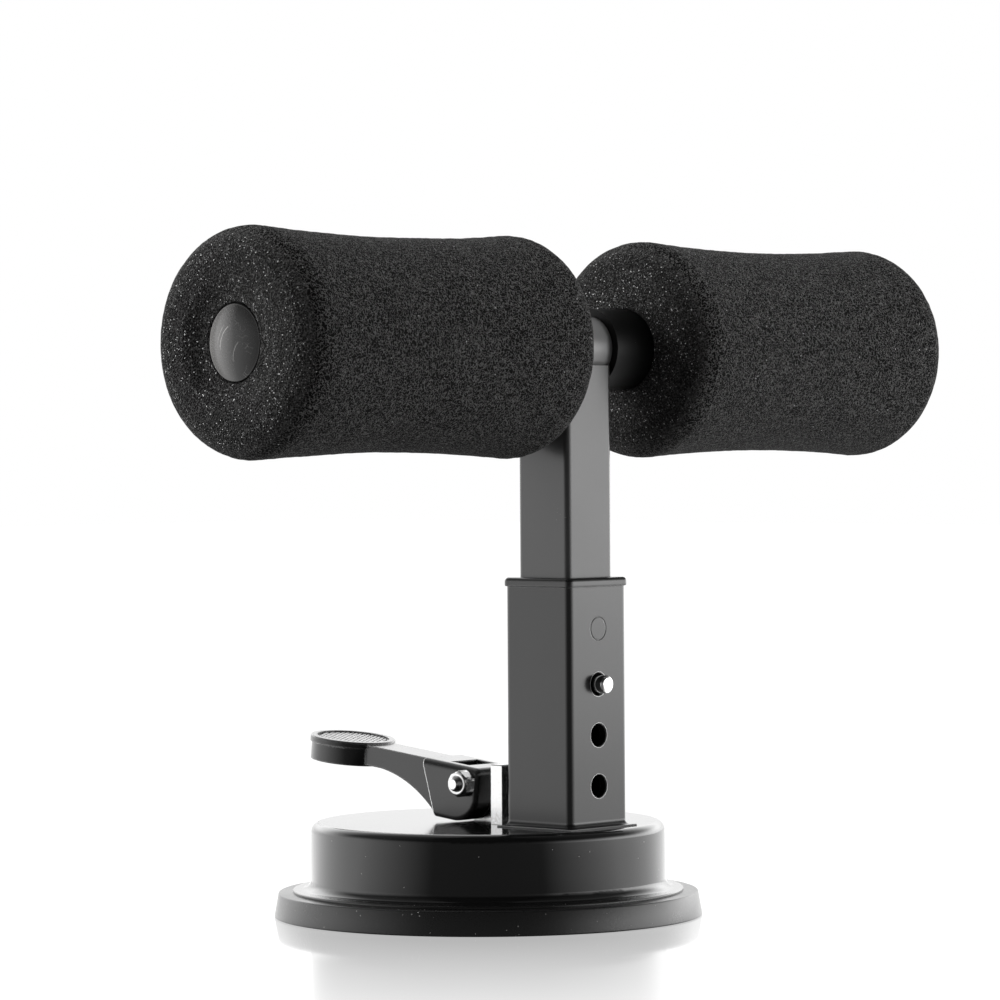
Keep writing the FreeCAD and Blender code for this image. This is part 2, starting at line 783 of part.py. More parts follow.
def make_cross_bar():
    """Round tube that lies in the saddle of the inner tube."""
    body = new_body("cross_bar")
    section = sketch_on(body, "BarSection", "YZ_Plane")
    circle(section, "0", "0", "bar_radius")
    circle(section, "0", "0", "bar_radius - bar_wall")
    body.Tip = pad(body, "BarTube", section, f"2 * {BAR_HALF}", both_ways=True)
    place(body, x="bar_offset", y="post_y", z=BAR_HEIGHT)
    return body


def place_on_bar(body, side):
    """Puts a piece that was drawn outwards from the bar's middle on its side of the bar."""
    turn = 0 if SIDES[side] > 0 else 180
    body.Placement = FreeCAD.Placement(FreeCAD.Vector(), FreeCAD.Rotation(FreeCAD.Vector(0, 0, 1), turn))
    place(body, x="bar_offset", y="post_y", z=BAR_HEIGHT)


def make_core_sleeve(side):
    """Plastic tube that turns on the bar and carries the foam."""
    body = new_body(f"core_sleeve_{side}")
    sign = SIDES[side]
    start = f"(tube_side / 2 + core_gap - {sign} * bar_offset)"
    section = sketch_on(body, "CoreSection", "YZ_Plane", start)
    circle(section, "0", "0", "core_radius")
    circle(section, "0", "0", "bar_radius + core_fit")
    body.Tip = pad(body, "CoreTube", section, f"{BAR_HALF} - core_gap - {start}")
    place_on_bar(body, side)
    return body


def make_foam_roller(side):
    """Thick foam roller with rounded ends and a shallow waist."""
    body = new_body(f"foam_roller_{side}")
    profile = sketch_on(body, "FoamProfile", "XZ_Plane")
    end = "(roller_gap + roller_length)"
    middle = "(roller_gap + roller_length / 2)"
    half = "(roller_length / 2 - roller_corner)"
    dip = "(roller_radius - roller_waist)"
    waist_arc = f"(({half} ^ 2 + {dip} ^ 2) / (2 * {dip}))"
    outline(
        profile,
        [
            ("roller_gap", "core_radius"),
            (end, "core_radius"),
            (end, "roller_radius - roller_corner", "roller_corner", "left"),
            (f"{end} - roller_corner", "roller_radius", waist_arc, "right"),
            (middle, "roller_waist", waist_arc, "right"),
            ("roller_gap + roller_corner", "roller_radius", "roller_corner", "left"),
            ("roller_gap", "roller_radius - roller_corner"),
        ],
    )
    body.Tip = revolve(body, "Foam", profile, "H_Axis")
    place_on_bar(body, side)
    return body


def make_end_cap(side):
    """Domed cap whose hollow plug sits in the end of the bar."""
    body = new_body(f"end_cap_{side}")
    profile = sketch_on(body, "CapProfile", "XZ_Plane")
    plug = "(bar_radius - bar_wall - cap_fit)"
    face = f"({BAR_HALF} + cap_flange)"
    dome_arc = "((cap_radius ^ 2 + cap_dome ^ 2) / (2 * cap_dome))"
    outline(
        profile,
        [
            (f"{BAR_HALF} - cap_plug", f"{plug} - cap_plug_wall"),
            (f"{BAR_HALF}", f"{plug} - cap_plug_wall"),
            (f"{BAR_HALF}", "0"),
            (f"{face} + cap_dome", "0", dome_arc, "left"),
            (face, "cap_radius"),
            (f"{BAR_HALF}", "cap_radius"),
            (f"{BAR_HALF}", plug),
            (f"{BAR_HALF} - cap_plug", plug),
        ],
    )
    body.Tip = revolve(body, "Cap", profile, "H_Axis")
    place_on_bar(body, side)
    return body


def cam_curve():
    """The cam under the lever's toe: an involute, whose distance from the pivot falls evenly with
    the lever's angle, so the stud sinks by the same amount for each degree."""
    heel = value("heel_distance")
    rate = value(CAM_RATE)
    points = []
    for number in range(CAM_POINTS):
        angle = math.pi / 2 * number / (CAM_POINTS - 1)
        reach = heel - rate * angle
        along = -reach * math.sin(angle) + rate * math.cos(angle)
        up = -reach * math.cos(angle) - rate * math.sin(angle)
        points.append(FreeCAD.Vector(along, up, 0))
    curve = Part.BSplineCurve()
    forward = FreeCAD.Vector(-1, 0, 0)
    upward = FreeCAD.Vector(0, 1, 0)
    curve.interpolate(Points=points, InitialTangent=forward, FinalTangent=upward)
    return curve, points[0], points[-1]


def make_lever_head(body):
    """Clevis head: flat heel, involute cam under the toe, rounded nose, and a sloping back."""
    profile = sketch_on(body, "HeadProfile", "YZ_Plane")
    curve, cam_start, cam_end = cam_curve()
    heel = FreeCAD.Vector(value("heel_end"), value("-heel_distance"), 0)
    back = FreeCAD.Vector(value("head_back"), value("head_top"), 0)
    front = FreeCAD.Vector(value("-toe_distance"), value("head_top"), 0)
    loop = [cam_end, front, back, heel, cam_start]
    profile.addGeometry([Part.LineSegment(first, second) for first, second in zip(loop, loop[1:])])
    profile.addGeometry(curve)
    head = pad(body, "Head", profile, "head_width", both_ways=True)
    sides = fillet(body, "HeadFrontEdges", head, "head_front_edge", lambda e: is_side_edge(e, cam_end, front))
    nose = fillet(body, "HeadNose", sides, "head_nose", lambda e: is_across_at(e, front))
    fillet(body, "HeadBackEdges", nose, "head_back_edge", lambda e: is_side_edge(e, back, heel))


def is_side_edge(edge, first, second):
    """True for an edge on one of the head's sides, along the straight line between two points."""
    along = (second - first).normalize()
    ends = [vertex.Point for vertex in edge.Vertexes]
    offsets = [(FreeCAD.Vector(point.y, point.z, 0) - first).cross(along).Length for point in ends]
    lengthways = len(ends) == 2 and near(ends[0].x, ends[1].x)
    return lengthways and all(near(offset, 0) for offset in offsets)


def is_across_at(edge, point):
    """True for a straight edge across the head at one point of its outline."""
    ends = [(vertex.Point.y, vertex.Point.z) for vertex in edge.Vertexes]
    return len(ends) == 2 and all(near(y, point.x) and near(z, point.y) for y, z in ends)


def make_lever_arm(body):
    """Arm from the head to the pedal, with its arched underside."""
    profile = sketch_on(body, "ArmProfile", "YZ_Plane")
    inside = "(well_end + merge)"
    outline(
        profile,
        [
            (inside, "arm_top"),
            (inside, "-arm_root_drop"),
            ("arm_root", "-arm_root_drop", "arm_arc", "right"),
            ("arm_straight", "-arm_under"),
            ("pedal_reach", "-arm_under"),
            ("pedal_reach", "arm_top"),
        ],
    )
    return pad(body, "Arm", profile, "arm_width", both_ways=True)


def make_pedal(body):
    """Round pedal with a raised rim and a sunk tread."""
    disc = sketch_on(body, "PedalDisc", "XY_Plane", "-pedal_under")
    circle(disc, "0", "pedal_reach", "pedal_radius")
    pad(body, "Pedal", disc, "pedal_under + pedal_top")
    rim = sketch_on(body, "PedalRim", "XY_Plane", "pedal_top - pedal_rim_height")
    circle(rim, "0", "pedal_reach", "pedal_rim_radius")
    rim_pad = pad(body, "Rim", rim, "pedal_rim_height")
    fillet(body, "RimEdge", rim_pad, "pedal_edge", lambda e: ring_at(e, "pedal_rim_radius", "pedal_top"))
    recess = sketch_on(body, "PedalRecess", "XY_Plane", "pedal_top")
    circle(recess, "0", "pedal_reach", "pedal_recess_radius")
    pocket(body, "Recess", recess, "pedal_recess")
    treads = sketch_on(body, "TreadBars", "XY_Plane", "pedal_top - pedal_recess")
    for line in tread_outlines():
        treads.addGeometry([Part.LineSegment(first, second) for first, second in zip(line, line[1:])])
    return pad(body, "Treads", treads, "tread_height")


def tread_outlines():
    """Slanting bars across the pedal's recess, each as long as the circle allows."""
    reach = value("pedal_recess_radius - tread_border")
    half_width = value("tread_width / 2")
    pitch = 2 * reach / (TREAD_COUNT + 1)
    centre = FreeCAD.Vector(0, value("pedal_reach"), 0)
    slant = math.radians(TREAD_ANGLE)
    along = FreeCAD.Vector(math.cos(slant), math.sin(slant), 0)
    across = FreeCAD.Vector(-math.sin(slant), math.cos(slant), 0)
    lines = []
    for number in range(TREAD_COUNT):
        offset = (number + 1) * pitch - reach
        half_length = math.sqrt(reach**2 - (abs(offset) + half_width) ** 2)
        corners = [(-1, -1), (1, -1), (1, 1), (-1, 1), (-1, -1)]
        middle = centre + across * offset
        lines.append([middle + along * half_length * x + across * half_width * y for x, y in corners])
    return lines


def make_pedal_lever():
    """Moulded lever, drawn with its heel level and placed at its angle in the photograph's pose."""
    body = new_body("pedal_lever")
    make_lever_head(body)
    make_lever_arm(body)
    make_pedal(body)
    slot = sketch_on(body, "EyeSlot", "YZ_Plane")
    reach = "(eye_radius + slide_gap)"
    rectangle(slot, "-toe_distance - overrun", "-heel_distance - overrun", reach, reach)
    pocket(body, "EyeWay", slot, "eye_thickness + 2 * slide_gap", both_ways=True)
    well = sketch_on(body, "WellPlan", "XY_Plane", "head_top")
    rectangle(well, "-well_width / 2", "well_start", "well_width / 2", "well_end")
    pocket(body, "Well", well, "well_depth")
    bore = sketch_on(body, "BoltCircle", "YZ_Plane")
    circle(bore, "0", "0", "bolt_radius + bolt_fit")
    body.Tip = pocket(body, "BoltHole", bore, "head_width + overrun", both_ways=True)
    place_on_pivot(body)
    return body


def place_on_pivot(body):
    turn = FreeCAD.Rotation(FreeCAD.Vector(1, 0, 0), value("lever_rest_angle"))
    body.Placement = FreeCAD.Placement(FreeCAD.Vector(), turn)
    place(body, z=PIVOT_HEIGHT)


def hexagon(sketch, across):
    corner = f"{across} / 2 / cos(30)"
    turns = [60 * step + 30 for step in range(6)]
    outline(sketch, [(f"{corner} * cos({turn})", f"{corner} * sin({turn})") for turn in turns])


def make_pivot_bolt():
    """Hexagon bolt along X, its end towards -X."""
    body = new_body("pivot_bolt")
    head = sketch_on(body, "BoltHeadHexagon", "YZ_Plane", "head_width / 2")
    hexagon(head, "nut_across")
    pad(body, "BoltHead", head, "bolt_head")
    end = "(head_width / 2 + nut_height + nut_collar + bolt_end)"
    shank = sketch_on(body, "BoltCircle", "YZ_Plane", f"-{end}")
    circle(shank, "0", "0", "bolt_radius")
    rod = pad(body, "BoltRod", shank, f"{end} + head_width / 2")
    body.Tip = chamfer(
        body,
        "BoltBevel",
        rod,
        "bolt_bevel",
        lambda e: all(near(v.Point.x, -value(end)) for v in e.Vertexes),
    )
    place_on_pivot(body)
    return body


def make_pivot_nut():
    """Hexagon lock nut with a round collar, on the bolt's end."""
    body = new_body("pivot_nut")
    face = sketch_on(body, "NutHexagon", "YZ_Plane", "-head_width / 2 - nut_height")
    hexagon(face, "nut_across")
    pad(body, "NutHexagonPad", face, "nut_height")
    collar = sketch_on(body, "NutCollarCircle", "YZ_Plane", "-head_width / 2 - nut_height - nut_collar")
    circle(collar, "0", "0", "nut_collar_radius")
    pad(body, "NutCollar", collar, "nut_collar + nut_height / 2")
    bore = sketch_on(body, "NutBore", "YZ_Plane")
    circle(bore, "0", "0", "bolt_radius + bolt_fit")
    body.Tip = pocket(body, "NutHole", bore, "2 * head_width + overrun", both_ways=True)
    place_on_pivot(body)
    return body


sub_parts = [
    make_suction_cup(),
    make_stud_plate(),
    make_pull_stud(),
    make_base_housing(),
    make_stop_plate(),
    make_stop_screws(),
    make_post_sleeve(),
    make_post_screws(),
    make_screw_washers(),
    make_inner_tube(),
    make_tube_plug(),
    make_snap_button(),
    make_button_spring(),
    make_cross_bar(),
    make_pedal_lever(),
    make_pivot_bolt(),
    make_pivot_nut(),
]
for side in SIDES:
    sub_parts += [make_core_sleeve(side), make_foam_roller(side), make_end_cap(side)]
doc.recompute()

for item in doc.Objects:
    if "Invalid" in item.State or "Error" in item.State:
        raise ValueError(f"{item.Name} failed: {item.State}")
os.makedirs("parts", exist_ok=True)
for item in sub_parts:
    if item.Shape.isNull() or not item.Shape.isValid():
        raise ValueError(f"{item.Label} has no valid shape")
    item.Shape.exportStep(f"parts/{item.Label}.step")
    box = item.Shape.BoundBox
    print(f"{item.Label}: {len(item.Shape.Solids)} solid, {item.Shape.Volume:.0f} mm3,", end=" ")
    print(f"x {box.XMin:.1f} {box.XMax:.1f}, y {box.YMin:.1f} {box.YMax:.1f},", end=" ")
    print(f"z {box.ZMin:.1f} {box.ZMax:.1f}")
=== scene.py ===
# %% [markdown]
# # A sit-up bar with a suction base
# The construction comes in as a imported model: every rigid piece, at its real size, in metres, with
# +Z up and the origin under the middle of the base. This script gives each piece its finish, and
# models again what a plain solid can't show: the foam, the rubber, the thread of the bolt.
# The first cell loads the model, whose size the dressed bar has to keep to.

import json
import math

import bmesh
import bpy
import numpy as np
from mathutils import Matrix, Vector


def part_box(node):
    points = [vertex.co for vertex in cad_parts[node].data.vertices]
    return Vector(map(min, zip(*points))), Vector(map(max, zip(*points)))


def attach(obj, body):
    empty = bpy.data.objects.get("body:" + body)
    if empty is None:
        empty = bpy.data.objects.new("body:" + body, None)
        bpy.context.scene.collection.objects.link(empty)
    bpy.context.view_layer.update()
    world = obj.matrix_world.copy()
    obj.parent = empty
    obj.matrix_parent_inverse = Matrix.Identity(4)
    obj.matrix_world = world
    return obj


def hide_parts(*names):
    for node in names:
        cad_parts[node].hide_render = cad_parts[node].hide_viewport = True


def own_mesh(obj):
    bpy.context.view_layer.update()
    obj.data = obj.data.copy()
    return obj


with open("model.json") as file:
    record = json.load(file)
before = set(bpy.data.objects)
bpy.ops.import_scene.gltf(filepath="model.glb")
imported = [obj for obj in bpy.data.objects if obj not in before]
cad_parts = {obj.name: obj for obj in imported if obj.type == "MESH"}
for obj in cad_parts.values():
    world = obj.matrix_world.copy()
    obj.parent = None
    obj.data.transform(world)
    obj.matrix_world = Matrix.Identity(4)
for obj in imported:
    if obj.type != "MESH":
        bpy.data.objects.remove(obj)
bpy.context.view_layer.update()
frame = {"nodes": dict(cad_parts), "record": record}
MM = 0.001


def put(name, data):
    """A new object with this data, in the scene."""
    item = bpy.data.objects.new(name, data)
    bpy.context.scene.collection.objects.link(item)
    return item


def box_of(node):
    """Lowest corner, highest corner and middle of a node's box, as arrays."""
    low, high = (np.array(corner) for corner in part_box(node))
    return low, high, (low + high) / 2


# %% [markdown]
# ## The camera
# The photograph was taken from a low tripod, well back, with a long lens: the top of the base is a
# thin sliver, and the far roller is hardly smaller than the near one. A camera is a place, three
# axes and a focal length. The three axes are worked out from an azimuth, an elevation and a small
# roll, and go into the camera's matrix as columns.

# %% Camera
CAMERA_PLACE = (-1.126944, -1.039157, 0.157956)
CAMERA_AZIMUTH = math.radians(-47.50)
CAMERA_ELEVATION = math.radians(0.657)
CAMERA_ROLL = math.radians(-0.366)
LENS = 162.98
SENSOR = 36.0
VIEW_DEPTH = 20.0


def camera_axes(azimuth, elevation, roll):
    """Right, up and back as unit vectors. Back points from the object to the camera; right lies
    level; the roll then turns right and up about back."""
    back = np.array(
        [
            math.sin(azimuth) * math.cos(elevation),
            -math.cos(azimuth) * math.cos(elevation),
            math.sin(elevation),
        ]
    )
    level = np.array([math.cos(azimuth), math.sin(azimuth), 0.0])
    upright = np.cross(back, level)
    right = level * math.cos(roll) + upright * math.sin(roll)
    up = upright * math.cos(roll) - level * math.sin(roll)
    return right, up, back


def make_camera():
    axes = camera_axes(CAMERA_AZIMUTH, CAMERA_ELEVATION, CAMERA_ROLL)
    matrix = np.eye(4)
    matrix[:3, :3] = np.array(axes).T
    matrix[:3, 3] = CAMERA_PLACE
    data = bpy.data.cameras.new("camera")
    data.lens = LENS
    data.sensor_width = SENSOR
    data.clip_end = VIEW_DEPTH
    camera = put("camera", data)
    camera.matrix_world = Matrix(matrix.tolist())
    bpy.context.scene.camera = camera
    return axes[2]


to_camera = make_camera()
bpy.context.scene.view_settings.view_transform = "Standard"
print("towards the camera:", to_camera.round(3))


# %% [markdown]
# ## Building materials from nodes
# A material is a small graph. A few helpers keep the graphs readable: one adds a node with its
# settings and its inputs, others stand for one kind of node each, and the last starts a material
# whose constant values sit directly on the Principled shader, where an exporter can read them.

# %% Node helpers
def add(tree, kind, inputs=None, **settings):
    """A new node. An input is a plain value or another node's output."""
    node = tree.nodes.new(kind)
    for name, setting in settings.items():
        setattr(node, name, setting)
    for name, source in (inputs or {}).items():
        if isinstance(source, bpy.types.NodeSocket):
            tree.links.new(source, node.inputs[name])
        else:
            node.inputs[name].default_value = source
    return node


def math_node(tree, operation, first, second=0.0, third=0.0):
    inputs = {0: first, 1: second, 2: third}
    return add(tree, "ShaderNodeMath", inputs, operation=operation).outputs[0]


def times(tree, first, second):
    return math_node(tree, "MULTIPLY", first, second)


def gap(tree, first, second):
    """How far apart two numbers are."""
    return math_node(tree, "ABSOLUTE", math_node(tree, "SUBTRACT", first, second))


def vector_node(tree, operation, first, second=(0, 0, 0)):
    """Vector maths. A length or a dot product comes out as a number."""
    node = add(tree, "ShaderNodeVectorMath", {0: first, 1: second}, operation=operation)
    return node.outputs["Value" if operation in ("LENGTH", "DOT_PRODUCT") else "Vector"]


def flat_distance(tree, place, centre, plane):
    """Distance from a line through the centre: plane is 1 for the two axes that count."""
    away = vector_node(tree, "SUBTRACT", place, centre)
    return vector_node(tree, "LENGTH", vector_node(tree, "MULTIPLY", away, plane))


def component(tree, vector, name):
    return add(tree, "ShaderNodeSeparateXYZ", {"Vector": vector}).outputs[name]


def noise(tree, place, scale, detail=0.0):
    inputs = {"Vector": place, "Scale": scale, "Detail": detail}
    return add(tree, "ShaderNodeTexNoise", inputs).outputs[0]


def remap(tree, source, low, high, new_low=0.0, new_high=1.0, smooth=False):
    """The source, stretched from one range of values to another and kept inside it."""
    kind = "SMOOTHSTEP" if smooth else "LINEAR"
    inputs = {0: source, 1: low, 2: high, 3: new_low, 4: new_high}
    return add(tree, "ShaderNodeMapRange", inputs, interpolation_type=kind).outputs["Result"]


def mix_numbers(tree, share, first, second):
    inputs = {0: share, 2: first, 3: second}
    return add(tree, "ShaderNodeMix", inputs, data_type="FLOAT").outputs[0]


def mix_colour(tree, share, first, second):
    """Two colours mixed. The node has sockets for each kind of data, so these go by number."""
    inputs = {0: share, 6: first, 7: second}
    return add(tree, "ShaderNodeMix", inputs, data_type="RGBA").outputs[2]


def bump_node(tree, distance, height, strength=1.0, **more):
    """A height, in parts of a distance in metres, as a turn of the normal."""
    inputs = {"Strength": strength, "Distance": distance, "Height": height, **more}
    return add(tree, "ShaderNodeBump", inputs).outputs["Normal"]


def grey(level, warm=0.0):
    """A grey as RGBA, a little warmer or cooler."""
    return (level * (1 + warm), level, level * (1 - warm), 1.0)


def new_material(name, colour, roughness, **values):
    """A Principled material with its constant values on the shader's own sockets."""
    material = bpy.data.materials.new(name)
    material.use_nodes = True
    shader = material.node_tree.nodes["Principled BSDF"]
    shader.inputs["Base Color"].default_value = colour
    shader.inputs["Roughness"].default_value = roughness
    for socket, amount in values.items():
        shader.inputs[socket.replace("_", " ")].default_value = amount
    return material, material.node_tree, shader


def feed(tree, shader, sources):
    """Links what varies over the surface to the shader's sockets."""
    for socket, source in sources.items():
        tree.links.new(source, shader.inputs[socket])


def object_place(tree, scale=(1, 1, 1)):
    """Object coordinates, in metres, stretched for a pattern."""
    coordinates = add(tree, "ShaderNodeTexCoord")
    inputs = {"Vector": coordinates.outputs["Object"], "Scale": scale}
    return add(tree, "ShaderNodeMapping", inputs).outputs["Vector"]


# %% [markdown]
# ## Effects that several finishes share
# Moulding grain, dust, scratches and worn edges turn up on more than one piece, so each is a node
# group with named inputs. A group gives out only heights, masks and normals, and the shader that
# uses them stays in the material.

# %% Group helper
VECTOR = "NodeSocketVector"
NUMBER = "NodeSocketFloat"


def new_group(name, inputs, outputs):
    """An empty node group. An input is a number, given as its default, or else a vector. An
    output comes with its kind."""
    group = bpy.data.node_groups.new(name, "ShaderNodeTree")
    sockets = group.interface
    for label, default in inputs.items():
        if default == VECTOR:
            sockets.new_socket(label, in_out="INPUT", socket_type=VECTOR)
        else:
            socket = sockets.new_socket(label, in_out="INPUT", socket_type=NUMBER)
            socket.default_value = default
    for label, kind in outputs.items():
        sockets.new_socket(label, in_out="OUTPUT", socket_type=kind)
    entry = add(group, "NodeGroupInput")
    leave = add(group, "NodeGroupOutput")
    return group, entry.outputs, leave.inputs


def use_group(tree, group, inputs):
    return add(tree, "ShaderNodeGroup", inputs, node_tree=group).outputs


# %% Moulding grain
def make_grain_group():
    """A fine grain with a slower unevenness under it, as a height from 0 to 1."""
    group, given, result = new_group(
        "moulding_grain",
        {"Vector": VECTOR, "Grain Scale": 1500.0, "Wave Scale": 60.0, "Wave Share": 0.5},
        {"Height": NUMBER},
    )
    fine = noise(group, given["Vector"], given["Grain Scale"], 2.0)
    slow = noise(group, given["Vector"], given["Wave Scale"], 1.0)
    group.links.new(mix_numbers(group, given["Wave Share"], fine, slow), result["Height"])
    return group


# %% Dust, and painted glints on the foam
def make_dust_and_glint_group():
    """Round specks: each Voronoi cell holds one, and only a share of the cells shows it."""
    group, given, result = new_group(
        "dust",
        {"Vector": VECTOR, "Scale": 700.0, "Share": 0.1, "Size": 0.25},
        {"Mask": NUMBER},
    )
    inputs = {"Vector": given["Vector"], "Scale": given["Scale"]}
    cells = add(group, "ShaderNodeTexVoronoi", inputs)
    draw = add(group, "ShaderNodeSeparateColor", {"Color": cells.outputs["Color"]}).outputs[0]
    chosen = math_node(group, "LESS_THAN", draw, given["Share"])
    speck = math_node(group, "LESS_THAN", cells.outputs["Distance"], given["Size"])
    group.links.new(times(group, chosen, speck), result["Mask"])
    return group


# %% Scratches
NOISE_MIDDLE = 0.5
SCRATCH_AREA_SCALE = 0.37


def make_scratch_group():
    """Thin broken lines: the ridge of a long drawn-out noise, cut up by a slower one."""
    group, given, result = new_group(
        "scratches",
        {"Vector": VECTOR, "Scale": 300.0, "Width": 0.02, "Share": 0.4},
        {"Mask": NUMBER},
    )
    line = noise(group, given["Vector"], given["Scale"])
    thin = math_node(group, "LESS_THAN", gap(group, line, NOISE_MIDDLE), given["Width"])
    area_scale = times(group, given["Scale"], SCRATCH_AREA_SCALE)
    there = math_node(group, "LESS_THAN", noise(group, given["Vector"], area_scale), given["Share"])
    group.links.new(times(group, thin, there), result["Mask"])
    return group


# %% Worn and rounded edges
EDGE_FLAT_COSINE = 0.999
EDGE_WORN_COSINE = 0.85


def make_edge_group():
    """The normal rounded over an edge, and a mask of how far it turns there."""
    group, given, result = new_group(
        "worn_edge",
        {"Radius": 0.0004, "Normal": VECTOR},
        {"Normal": VECTOR, "Mask": NUMBER},
    )
    inputs = {"Radius": given["Radius"], "Normal": given["Normal"]}
    bevel = add(group, "ShaderNodeBevel", inputs, samples=4).outputs[0]
    true_normal = add(group, "ShaderNodeNewGeometry").outputs["Normal"]
    cosine = vector_node(group, "DOT_PRODUCT", bevel, true_normal)
    group.links.new(bevel, result["Normal"])
    group.links.new(remap(group, cosine, EDGE_FLAT_COSINE, EDGE_WORN_COSINE), result["Mask"])
    return group


grain_group = make_grain_group()
dust_and_glint_group = make_dust_and_glint_group()
scratch_group = make_scratch_group()
edge_group = make_edge_group()
print("groups:", [group.name for group in bpy.data.node_groups])


# %% [markdown]
# ## Studio: light by direction
# The photograph is a product shot on white, with a dark room behind the camera and tall bright
# screens at both sides. Glossy black plastic shows little else than that room: a face turned to the
# camera is black, and a face at half a right angle to it mirrors a screen and looks grey. One node
# group holds the room as a level by direction. The world uses it as its sky, and the floor uses it
# again for what a mirror ray meets there.

# %% Studio group
LEVEL_AHEAD = 0.17
LEVEL_SIDES = 2.05
SHARE_BEHIND = 0.65
SIDES_FROM = math.radians(36)
SIDES_TO = math.radians(93)
BEHIND_FROM = math.radians(140)
BEHIND_TO = math.radians(180)
BACKDROP_FROM = math.radians(110)
BACKDROP_TO = math.radians(150)
RIGHT_FROM = 0.15
RIGHT_TO = 0.9
to_camera_flat = (float(to_camera[0]), float(to_camera[1]), 0.0)
to_right_flat = (-to_camera_flat[1], to_camera_flat[0], 0.0)


def make_studio_group():
    """Level by direction, seen from above. The angle to the camera's direction goes through
    straight steps: dark ahead, bright at the sides, and a little less behind."""
    group, given, result = new_group(
        "studio_level",
        {"Direction": VECTOR, "Angle Share": 1.0},
        {"Level": NUMBER, "Behind": NUMBER, "Right": NUMBER},
    )
    flat = vector_node(group, "MULTIPLY", given["Direction"], (1, 1, 0))
    way = vector_node(group, "NORMALIZE", flat)
    ahead = vector_node(group, "DOT_PRODUCT", way, to_camera_flat)
    right = vector_node(group, "DOT_PRODUCT", way, to_right_flat)
    angle = math_node(group, "ARCCOSINE", ahead)
    angle = times(group, angle, given["Angle Share"])
    sides = remap(group, angle, SIDES_FROM, SIDES_TO, LEVEL_AHEAD, LEVEL_SIDES)
    fall = remap(group, angle, BEHIND_FROM, BEHIND_TO, 1.0, SHARE_BEHIND, smooth=True)
    group.links.new(times(group, sides, fall), result["Level"])
    group.links.new(remap(group, angle, BACKDROP_FROM, BACKDROP_TO), result["Behind"])
    group.links.new(remap(group, right, RIGHT_FROM, RIGHT_TO, smooth=True), result["Right"])
    return group


studio_group = make_studio_group()

# %% [markdown]
# The screens are low and wide, so the room is dark from about thirty degrees up, except behind the
# bar, where the white background runs up high. The screen on the right is brighter. To the camera
# the world is plain white, and for soft light on the foam it is a faint glow from the sides.

# %% World
# Heights are the Z of a direction of length one.
SCREENS_END = (0.17, 0.50)
LEVEL_ABOVE = 0.12
BACKDROP_RISE = (0.08, 0.25)
BACKDROP_GAIN = 1.7
BACKDROP_FALL = (0.40, 0.75)
BACKDROP_ABOVE = 0.25
RIGHT_END = (0.12, 0.40)
RIGHT_GAIN = 1.25
RIGHT_GAIN_HIGH = -0.35
DIFFUSE_AHEAD = 0.02
DIFFUSE_SIDES = 0.36


def make_world():
    world = bpy.data.worlds.new("studio")
    world.use_nodes = True
    tree = world.node_tree
    tree.nodes.clear()
    way = add(tree, "ShaderNodeTexCoord").outputs["Generated"]
    room = use_group(tree, studio_group, {"Direction": way})
    height = component(tree, way, "Z")
    low_screens = remap(tree, height, *SCREENS_END, 1.0, LEVEL_ABOVE)
    rise = remap(tree, height, *BACKDROP_RISE, 1.0, BACKDROP_GAIN)
    fall = remap(tree, height, *BACKDROP_FALL, 1.0, BACKDROP_ABOVE)
    backdrop = times(tree, rise, fall)
    tall = mix_numbers(tree, room["Behind"], low_screens, backdrop)
    right_gain = remap(tree, height, *RIGHT_END, RIGHT_GAIN, RIGHT_GAIN_HIGH)
    gain = math_node(tree, "MULTIPLY_ADD", room["Right"], right_gain, 1.0)
    level = times(tree, room["Level"], tall)
    mirrored = times(tree, level, gain)
    soft = remap(tree, room["Level"], LEVEL_AHEAD, LEVEL_SIDES, DIFFUSE_AHEAD, DIFFUSE_SIDES)
    rays = add(tree, "ShaderNodeLightPath").outputs
    strength = mix_numbers(tree, rays["Is Diffuse Ray"], mirrored, soft)
    lit = add(tree, "ShaderNodeBackground", {"Color": grey(1.0), "Strength": strength}).outputs[0]
    white = add(tree, "ShaderNodeBackground", {"Color": grey(1.0), "Strength": 1.0}).outputs[0]
    both = add(tree, "ShaderNodeMixShader", {0: rays["Is Camera Ray"], 1: lit, 2: white})
    add(tree, "ShaderNodeOutputWorld", {"Surface": both.outputs[0]})
    bpy.context.scene.world = world
    print("world:", world.name, len(tree.nodes), "nodes")


make_world()

# %% [markdown]
# The floor is one large square. To the camera it is its own white with a mirror that shows the base
# upside down, strongest close to the base. A mirror ray from the piece meets the room's pattern on
# it, and any other ray meets a pale glow, which lights the foam from below.

# %% Floor
FLOOR_HALF = 6.0
FLOOR_DROP = 0.00002
FLOOR_ROUGHNESS = 0.07
FLOOR_GLOW = 0.34
MIRROR_NEAR = 0.53
MIRROR_FAR = 0.22
MIRROR_FROM = 0.085
MIRROR_TO = 0.24
FLOOR_ANGLE_SHARE = 1.08
RIGHT_REACH_FROM = 0.4
RIGHT_REACH_TO = 2.5


